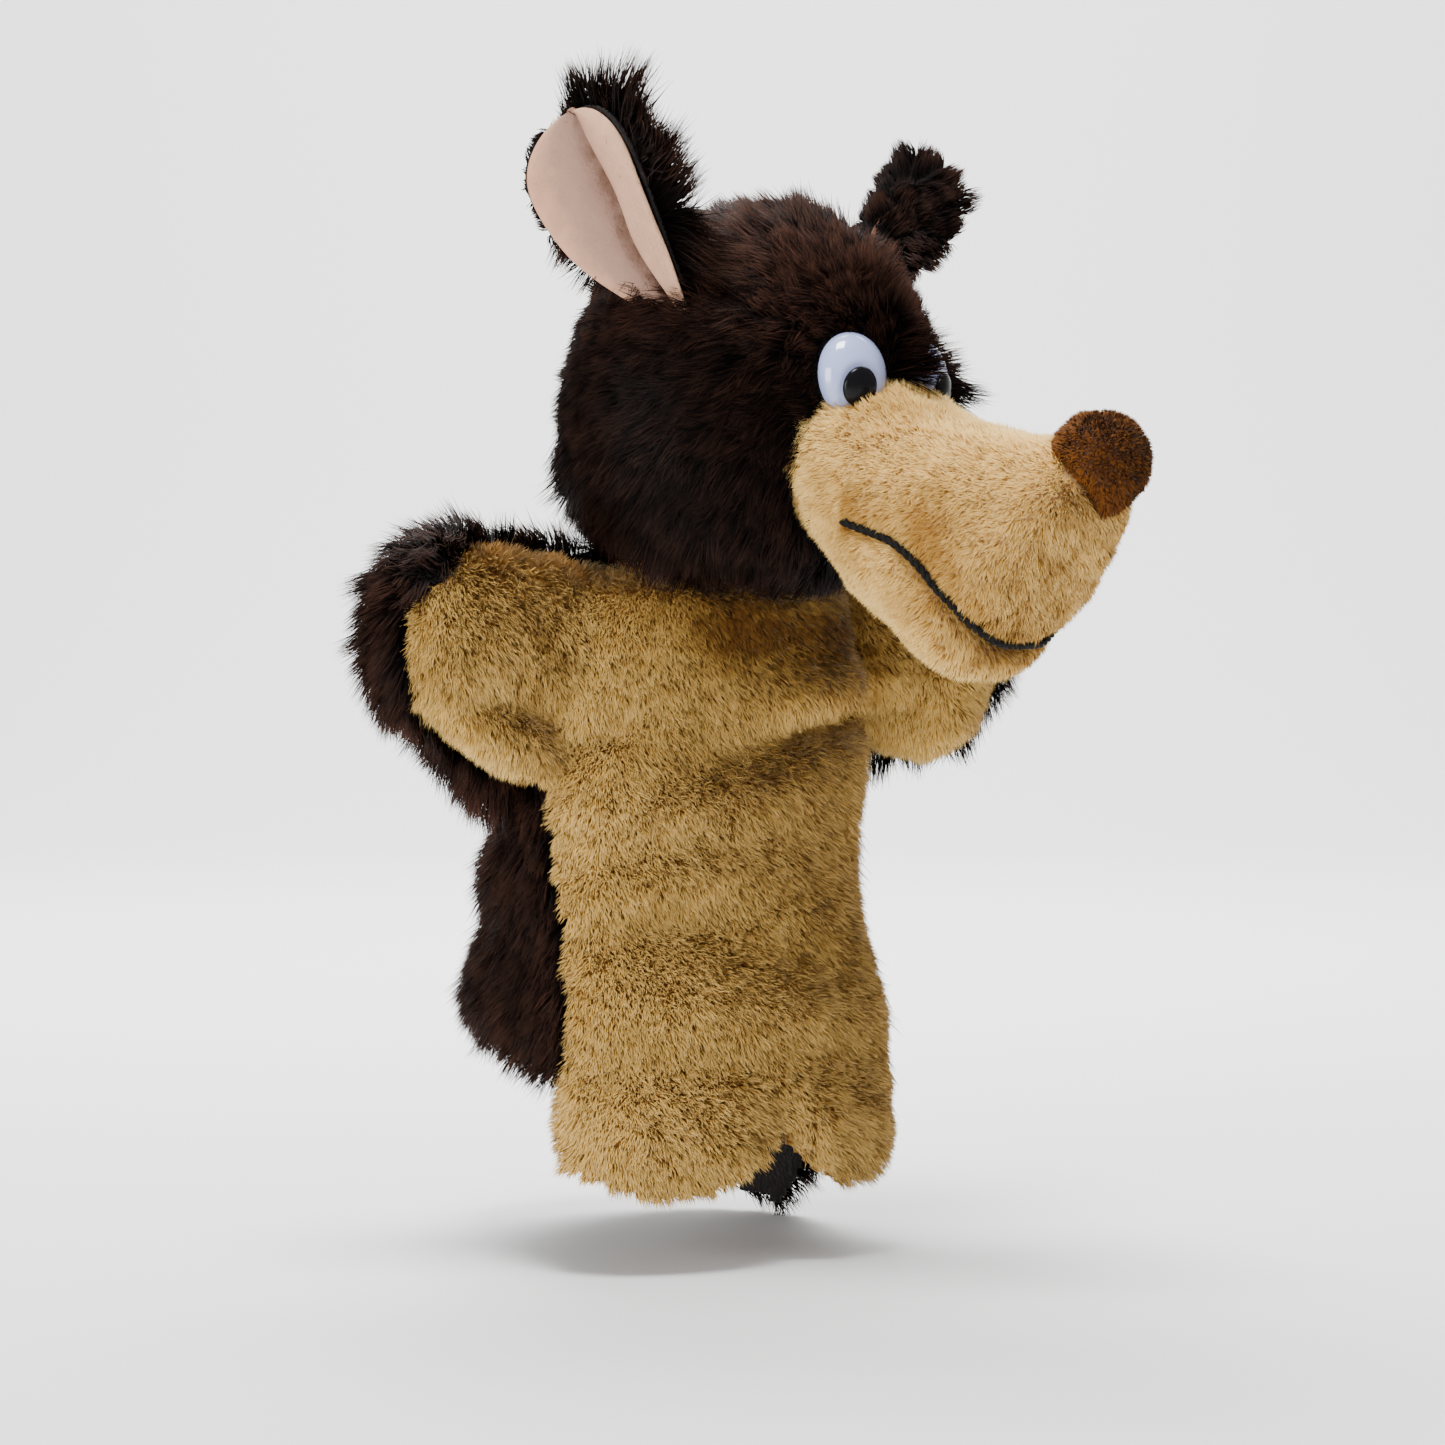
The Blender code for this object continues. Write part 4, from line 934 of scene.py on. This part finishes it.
def muzzle_test(upper, side):
    def test(p):
        q = into_head @ p
        above = q.z > mouth_level(q.y)
        return above == upper and (not upper or (q.x < 0) == (side < 0)) and q.y < -0.030
    return test


def off_muzzle(points, normals):
    """Brushed towards the cheeks and down."""
    return np.tile([0.0, 0.55, -0.8], (len(points), 1)) @ HEAD_TURN.T


def clear_of_nose(points):
    p = head_view(points)
    far = ((p - np.array([0, -0.1015, 0.0588])) ** 2).sum(1) > 0.0112**2
    mouth = np.array([mouth_level(y) for y in p[:, 1]])
    above = p[:, 2] - mouth
    room = 0.0013 + 0.0010 * np.clip((-0.078 - p[:, 1]) / 0.01, 0, 1)
    off_thread = (above > room) | (above < -0.0013) | (p[:, 1] > -0.056)
    return (far & off_thread).astype(float)


def muzzle_long(points):
    """A longer tuft where the muzzle meets the brow."""
    p = head_view(points)
    return 1 + 0.9 * np.exp(-(((p[:, 1] + 0.034) / 0.006) ** 2)) * (p[:, 2] > 0.045)


def painted_muzzle_light(points):
    """Painted light on the muzzle's pile: a painted highlight over its top, more than 12 mm above the mouth, and
    painted shade, deeper and warmer, in the mouth's fold and in a patch on the muzzle's side, so it is darker under the
    jaw than on top.
    """
    p = head_view(points)
    mouth = np.array([mouth_level(y) for y in p[:, 1]])
    off = p[:, 2] - mouth
    fold = (0.2 * np.exp(-((off / 0.003) ** 2)) + 0.3 * np.exp(-(((off - 0.007) / 0.007) ** 2))) * (p[:, 1] < -0.055)
    cheek = 0.22 * np.exp(-(((p[:, 1] + 0.080) / 0.006) ** 2) - ((p[:, 2] - 0.034) / 0.012) ** 2)
    return 0.12 * (off > 0.012) - fold - cheek


# the muzzle's pile takes a painted highlight on top and painted shade in the mouth's fold
for name, upper, side, nodes in (
    ("muzzle_right_cloth", True, -1, "muzzle_right"),
    ("muzzle_left_cloth", True, 1, "muzzle_left"),
    ("jaw_cloth", False, 0, "jaw"),
):
    cloth = piece_of(muzzle_skin, name, muzzle_test(upper, side), CREAM_BACKING)
    pile = grown(
        name.replace("cloth", "pile"), [cloth], CREAM_PILE, 11.0, 0.0034, 0.00022, (0.3, 0.95), off_muzzle,
        tuft=0.0018, gather=0.35, seed=131 + len(name), droop=0.15, where=clear_of_nose, tone=0.2, wild=0.3,
        shade=painted_muzzle_light, long=muzzle_long,
    )
    walled(cloth, 0.0012)
    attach(cloth, "head")
    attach(pile, "head")
    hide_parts(nodes)
muzzle_skin.free()

# ---------------------------------------------------------------- nose
# A small ball of clipped brown plush, gathered underneath and sewn over the muzzle's top corner.

nose_form = bmesh.new()
bmesh.ops.create_icosphere(nose_form, subdivisions=5, radius=0.0107)
for v in nose_form.verts:
    low = max(-v.co.z / 0.0107, 0)
    v.co.x *= 1 - 0.45 * low**1.5
    v.co.y = v.co.y * (1 - 0.40 * low**1.5) - 0.0030 * low
    v.co.z *= 1 + 0.12 * low**2
    v.co += v.co.normalized() * 0.0003 * math.sin(v.co.x * 900) * math.sin(v.co.z * 700)
bmesh.ops.transform(nose_form, matrix=HEAD @ Matrix.Translation((0, -0.1012, 0.0588)), verts=nose_form.verts)
nose_mesh = bpy.data.meshes.new("nose_cloth")
nose_form.to_mesh(nose_mesh)
nose_form.free()
nose_mesh.shade_smooth()
nose_mesh.materials.append(backing("nose_backing", (0.05, 0.016, 0.004), (0.09, 0.03, 0.008)))
nose_cloth = bpy.data.objects.new("nose_cloth", nose_mesh)
bpy.context.scene.collection.objects.link(nose_cloth)
NOSE_PILE = fibre(
    "nose_pile", (0.05, 0.014, 0.002), (0.13, 0.040, 0.005), (0.26, 0.090, 0.014),
    (0.50, 0.45, 0.40), (0.70, 0.65, 0.60), (1.6, 1.6, 1.6), 0.85, 0.1,
)
nose_pile = grown(
    "nose_pile", [nose_cloth], NOSE_PILE, 11.0, 0.0017, 0.00024, (0.1, 0.5), straight_down,
    tuft=0.0012, gather=0.35, seed=201, steps=3, wild=0.35,
)
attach(nose_cloth, "head")
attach(nose_pile, "head")
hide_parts("nose")

# ---------------------------------------------------------------- eyes
# Moulded plastic toy eyes: a glossy bluish-white dome on a shank that a washer holds inside the head,
# with a domed black pupil let into it, low and to the front.

for side, word in ((-1, "right"), (1, "left")):
    seat = HEAD @ EYE_SEAT[side]
    dome_form = bmesh.new()
    bmesh.ops.create_uvsphere(dome_form, u_segments=64, v_segments=40, radius=1)
    for v in dome_form.verts:
        v.co = Vector((v.co.x * EYE_HALF_WIDTH, v.co.y * EYE_HALF_HEIGHT, v.co.z * (EYE_DOME if v.co.z > 0 else 0.0012)))
    look = Vector((-0.0008, -0.0034, 0))
    for v in dome_form.verts:
        off = math.hypot(v.co.x - look.x, (v.co.y - look.y) / 1.1)
        if v.co.z > 0 and off < 0.0062:
            v.co.z -= 0.0007 * (1 - min(max((off - 0.0044) / 0.0012, 0), 1))
    bmesh.ops.transform(dome_form, matrix=seat, verts=dome_form.verts)
    dome_mesh = bpy.data.meshes.new(word + "_eye_dome")
    dome_form.to_mesh(dome_mesh)
    dome_form.free()
    dome_mesh.shade_smooth()
    if side < 0:
        white = Dye("eye_white", 0.16, Coat_Weight=1.0, Coat_Roughness=0.04, Subsurface_Weight=0.0)
        white.base(white.ramp(white.noise(60.0), [(0.3, (0.38, 0.45, 0.74)), (0.8, (0.43, 0.50, 0.78))]))
        black = Dye("eye_black", 0.2, Specular_IOR_Level=0.15)
        black.base(black.ramp(black.noise(90.0), [(0.3, (0.004, 0.004, 0.005)), (0.8, (0.008, 0.008, 0.009))]))
    dome_mesh.materials.append(white.material)
    dome = bpy.data.objects.new(word + "_eye_dome", dome_mesh)
    bpy.context.scene.collection.objects.link(dome)
    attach(dome, "head")
    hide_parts(word + "_eye")

    pupil_form = bmesh.new()
    bmesh.ops.create_uvsphere(pupil_form, u_segments=48, v_segments=24, radius=1)
    bmesh.ops.scale(pupil_form, verts=pupil_form.verts, vec=(0.0045, 0.0048, 0.0017))
    sphere_out = Vector((look.x / EYE_HALF_WIDTH**2, look.y / EYE_HALF_HEIGHT**2, 1 / EYE_DOME)).normalized()
    high = EYE_DOME * math.sqrt(1 - (look.x / EYE_HALF_WIDTH) ** 2 - (look.y / EYE_HALF_HEIGHT) ** 2)
    tilt = sphere_out.to_track_quat("Z", "Y").to_matrix().to_4x4()
    bmesh.ops.transform(
        pupil_form, matrix=seat @ Matrix.Translation((look.x, look.y, high - 0.0007)) @ tilt, verts=pupil_form.verts
    )
    pupil_mesh = bpy.data.meshes.new(word + "_eye_pupil")
    pupil_form.to_mesh(pupil_mesh)
    pupil_form.free()
    pupil_mesh.shade_smooth()
    pupil_mesh.materials.append(black.material)
    pupil = bpy.data.objects.new(word + "_eye_pupil", pupil_mesh)
    bpy.context.scene.collection.objects.link(pupil)
    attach(pupil, "head")
    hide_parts(word + "_pupil")

# ---------------------------------------------------------------- mouth
# A black twisted thread, two plies, laid in the mouth's fold and held by it all the way round.


def mouth_line():
    """Where the thread lies: from one corner round the front to the other, on the muzzle's side."""
    shares = np.linspace(0.30, 1.0, 60)
    table = np.array(MUZZLE_SIZES)
    line = []
    for share in shares:
        half, top, bottom, square = (float(np.interp(share, table[:, 0], table[:, k])) for k in (1, 2, 3, 4))
        tall = MUZZLE_TOP - MUZZLE_BOTTOM
        high, low = MUZZLE_BOTTOM + tall * top, MUZZLE_BOTTOM + tall * bottom
        ahead = y = -(MUZZLE_ROOT + (MUZZLE_REACH - MUZZLE_ROOT) * share)
        for _ in range(5):
            y = ahead + chin_back(share, mouth_level(y))
        level = abs(mouth_level(y) - (high + low) / 2) / ((high - low) / 2)
        if level >= 1:
            break
        line.append((MUZZLE_HALF * half * (1 - level**square) ** (1 / square), y, mouth_level(y)))
    right = [(-x, y, z) for x, y, z in line]
    return np.array(right + [(0, line[-1][1] - 0.0006, line[-1][2])] + line[::-1])


thread_line = mouth_line()
steps_along = np.concatenate([[0], np.cumsum(np.linalg.norm(np.diff(thread_line, axis=0), axis=1))])
even = np.linspace(0, steps_along[-1], 260)
thread_line = np.stack([np.interp(even, steps_along, thread_line[:, k]) for k in range(3)], 1)
for _ in range(6):
    thread_line[1:-1] = (thread_line[:-2] + 2 * thread_line[1:-1] + thread_line[2:]) / 4
heading = unit(np.gradient(thread_line, axis=0))
out_of = unit(np.cross(heading, np.array([0, 0, 1.0])))
if (out_of * (thread_line - np.array([0, -0.07, 0.03]))).sum() < 0:
    out_of = -out_of
upward = np.cross(heading, out_of)
THREAD = Dye("mouth_thread_dye", 0.8, Specular_IOR_Level=0.15)
THREAD.base(THREAD.ramp(THREAD.noise(700.0), [(0.3, (0.003, 0.003, 0.0025)), (0.8, (0.012, 0.011, 0.009))]))
THREAD.bump(THREAD.noise(2500.0), 0.0002)
for ply in range(2):
    twist = even / 0.0042 * 2 * math.pi + ply * math.pi
    strand = thread_line + out_of * 0.0013 + 0.00042 * (np.cos(twist)[:, None] * out_of + np.sin(twist)[:, None] * upward)
    curve = bpy.data.curves.new(f"mouth_ply_{ply + 1}", "CURVE")
    curve.dimensions = "3D"
    curve.bevel_depth = 0.00060
    curve.bevel_resolution = 3
    curve.use_fill_caps = True
    spline = curve.splines.new("POLY")
    spline.points.add(len(strand) - 1)
    for point, place in zip(spline.points, strand):
        point.co = (*(HEAD @ Vector(place)), 1)
    curve.materials.append(THREAD.material)
    made = bpy.data.objects.new(f"mouth_ply_{ply + 1}", curve)
    bpy.context.scene.collection.objects.link(made)
    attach(made, "head")
    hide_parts("mouth_thread")

# ---------------------------------------------------------------- ears
# Each ear is a leaf of long dark plush sewn to a leaf of peach felt, folded down its middle and sewn to the
# side of the head so that it cups outwards. It bends at its root and springs back.

EAR_LONG = 0.047
EAR_BROAD = 0.66  # how far up it is widest
EARS = {
    -1: ("right", (-0.78, 0.14, 0.46), math.radians(24), math.radians(30), math.radians(92)),
    1: ("left", (0.74, 0.10, 0.52), math.radians(31), math.radians(8), math.radians(84)),
}
FELT = Dye("peach_felt", 0.95, Specular_IOR_Level=0.1)
felt_map = FELT.node("ShaderNodeUVMap", {"uv_map": "lay"}).outputs["UV"]
felt_split = FELT.node("ShaderNodeSeparateXYZ", {}, {"Vector": felt_map})
# peach felt, with painted shade: darker over the cupped middle and a dark painted shadow along the furrow
felt_painted_shade = FELT.ramp(
    Wire(FELT, felt_split.outputs["X"]) + (FELT.noise(220.0) - 0.5) * 0.25,
    [(0.0, (0.66, 0.36, 0.23)), (0.22, (0.40, 0.24, 0.175)), (0.50, (0.30, 0.18, 0.135)), (0.60, (0.14, 0.07, 0.045)), (0.70, (0.44, 0.25, 0.17)), (1.0, (0.68, 0.40, 0.26))],
)
FELT.base(felt_painted_shade)
FELT.bump(FELT.noise(1400.0, 5.0), 0.0004)


def ear_leaf(form, side, shrink, is_felt, across=44, along=48):
    """A cupped leaf with its hollow towards -Y and its root at the origin: a grid bent to shape. The felt stands
    proud of the plush, with a furrow down it and a rolled lip beside the furrow."""
    form.loops.layers.uv.new("lay")
    made = bmesh.ops.create_grid(form, x_segments=across, y_segments=along, size=1, calc_uvs=True)["verts"]
    for v in made:
        u, w = v.co.x, (v.co.y + 1) / 2
        if w > 0.5:
            w = 0.5 + 0.5 * math.sin((w - 0.5) * math.pi)
        if w > EAR_BROAD:
            wide = max(1 - ((w - EAR_BROAD) / (1 - EAR_BROAD)) ** 2.5, 0) ** (1 / 2.2)
        else:
            wide = 0.30 + 0.70 * math.sin(math.pi / 2 * w / EAR_BROAD) ** 1.15
        half = wide * ((0.0168 if side < 0 else 0.0155) - shrink) + 0.0006
        x = u * half * (1 if side < 0 else 0.86) - side * 0.006 * max(1 - w / 0.45, 0) ** 1.5
        open_side = side < 0 < u
        y = -(0.0035 if open_side else 0.012) * (u * half / 0.019) ** 2
        if is_felt:
            room = math.sin(math.pi * min(0.06 + 0.94 * w, 1)) ** 0.5
            furrow = 0.0046 * math.exp(-(((u - 0.26 + 0.15 * w) / 0.15) ** 2)) * room
            lip = 0.0022 * math.exp(-(((u - 0.66) / 0.24) ** 2)) * room
            mound = 0.0016 * math.exp(-(((u + 0.2) / 0.4) ** 2) - ((w - 0.33) / 0.13) ** 2)
            y += furrow - lip - mound - 0.0018 - 0.0030 * wide * (1 - u**4) + 0.0004 * math.sin(u * 5 - w * 11)
        tall = EAR_LONG * (1 if side < 0 else 0.92) - shrink * (0 if is_felt else 1)
        low = -0.008 if is_felt and side < 0 else 0.0
        v.co = Vector((x, y, low + w * (tall - low)))
    return made


for side, (word, direction, out, back, turn) in EARS.items():
    place, outward = head_surface(direction)
    spin = Matrix.Rotation(side * out, 3, "Y") @ Matrix.Rotation(-back, 3, "X") @ Matrix.Rotation(side * turn, 3, "Z")
    seat = HEAD @ Matrix.Translation(place + outward * 0.0012) @ spin.to_4x4()
    body = word + "_ear"
    pieces = {}
    for name, shrink, lift, material, wall in (
        (word + "_ear_felt", 0.0010, 0.0, FELT.material, 0.0007),
        (word + "_ear_cloth", 0.0, 0.0, BROWN_BACKING, 0.0012),
    ):
        leaf = bmesh.new()
        ear_leaf(leaf, side, shrink, name.endswith("felt"))
        bmesh.ops.recalc_face_normals(leaf, faces=leaf.faces)
        leaf.normal_update()
        backwards = sum(f.normal.y * f.calc_area() for f in leaf.faces) > 0
        if backwards != (name.endswith("cloth")):
            bmesh.ops.reverse_faces(leaf, faces=leaf.faces)
        leaf.normal_update()
        for v in leaf.verts:
            v.co += v.normal * lift
        bmesh.ops.transform(leaf, matrix=seat, verts=leaf.verts)
        mesh = bpy.data.meshes.new(name)
        leaf.to_mesh(mesh)
        leaf.free()
        mesh.shade_smooth()
        mesh.materials.append(material)
        made = bpy.data.objects.new(name, mesh)
        bpy.context.scene.collection.objects.link(made)
        pieces[name] = made
    cloth = pieces[word + "_ear_cloth"]
    tip_way = np.array(seat.to_3x3() @ Vector((0, 0, 1)))
    middle = np.array(seat @ Vector((0, 0, 0.018)))

    far_side = np.array(seat.to_3x3() @ Vector((0.7, 0.7, 0)))

    def ear_long(points):
        if side > 0:
            return np.full(len(points), 0.44)
        over = (points - middle) @ far_side
        high = np.clip(((points - middle) @ tip_way + 0.004) / 0.012, 0, 1)
        return 1.0 + 0.55 * np.clip(over / 0.012, 0, 1) - 0.75 * high * np.clip(-over / 0.006, 0, 1)

    def off_ear(points, normals):
        away = points - middle
        return unit(away) * 0.85 + tip_way * 0.2 + np.array([0, 0, -0.40])

    pile = grown(
        word + "_ear_pile", [cloth], BROWN_PILE, 9.0, 0.0135, 0.00030, (0.9, 1.35), off_ear,
        tuft=0.0044, gather=0.7, seed=301 + side, droop=0.1, wild=0.26, long=ear_long,
    )
    walled(cloth, 0.0010)
    walled(pieces[word + "_ear_felt"], 0.0007)
    for made in (*pieces.values(), pile):
        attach(made, body)
    wide = 0.036 if side < 0 else 0.031
    0.80 * wide * 0.047
    0.80 * wide * 0.048
    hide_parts(word + "_ear_back")
    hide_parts(word + "_ear_lining")

# ---------------------------------------------------------------- neck and finger tube
# A woven tube for the fingers is sewn into the head, and a collar of the same cloth in the glove's neck.

WOVEN = Dye("woven_lining", 0.95)
weave_place = WOVEN.node("ShaderNodeTexCoord").outputs["Object"]
weft = WOVEN.node("ShaderNodeTexWave", {"bands_direction": "Z"}, {"Vector": weave_place, "Scale": 300.0, "Distortion": 0.6})
WOVEN.base(WOVEN.ramp(weft.outputs["Fac"], [(0.2, (0.20, 0.14, 0.09)), (0.8, (0.33, 0.25, 0.17))]))
WOVEN.bump(Wire(WOVEN, weft.outputs["Fac"]), 0.0002)
WADDING = Dye("wadding", 1.0)
WADDING.base(WADDING.ramp(WADDING.noise(180.0, 6.0), [(0.3, (0.66, 0.66, 0.64)), (0.7, (0.88, 0.88, 0.86))]))
WADDING.bump(WADDING.noise(500.0, 6.0), 0.001)
WASHER = Dye("washer_plastic", 0.45)
WASHER.base(WASHER.ramp(WASHER.noise(80.0), [(0.3, (0.74, 0.74, 0.71)), (0.7, (0.82, 0.82, 0.80))]))
for nodes, dye in (
    (("neck_collar", "head_finger_tube"), WOVEN),
    (("head_filling",), WADDING),
    (("right_eye_washer", "left_eye_washer"), WASHER),
):
    for node in nodes:
        bpy.data.objects[node].material_slots[0].material = dye.material

muzzle_stuffing.data.materials.append(WADDING.material)

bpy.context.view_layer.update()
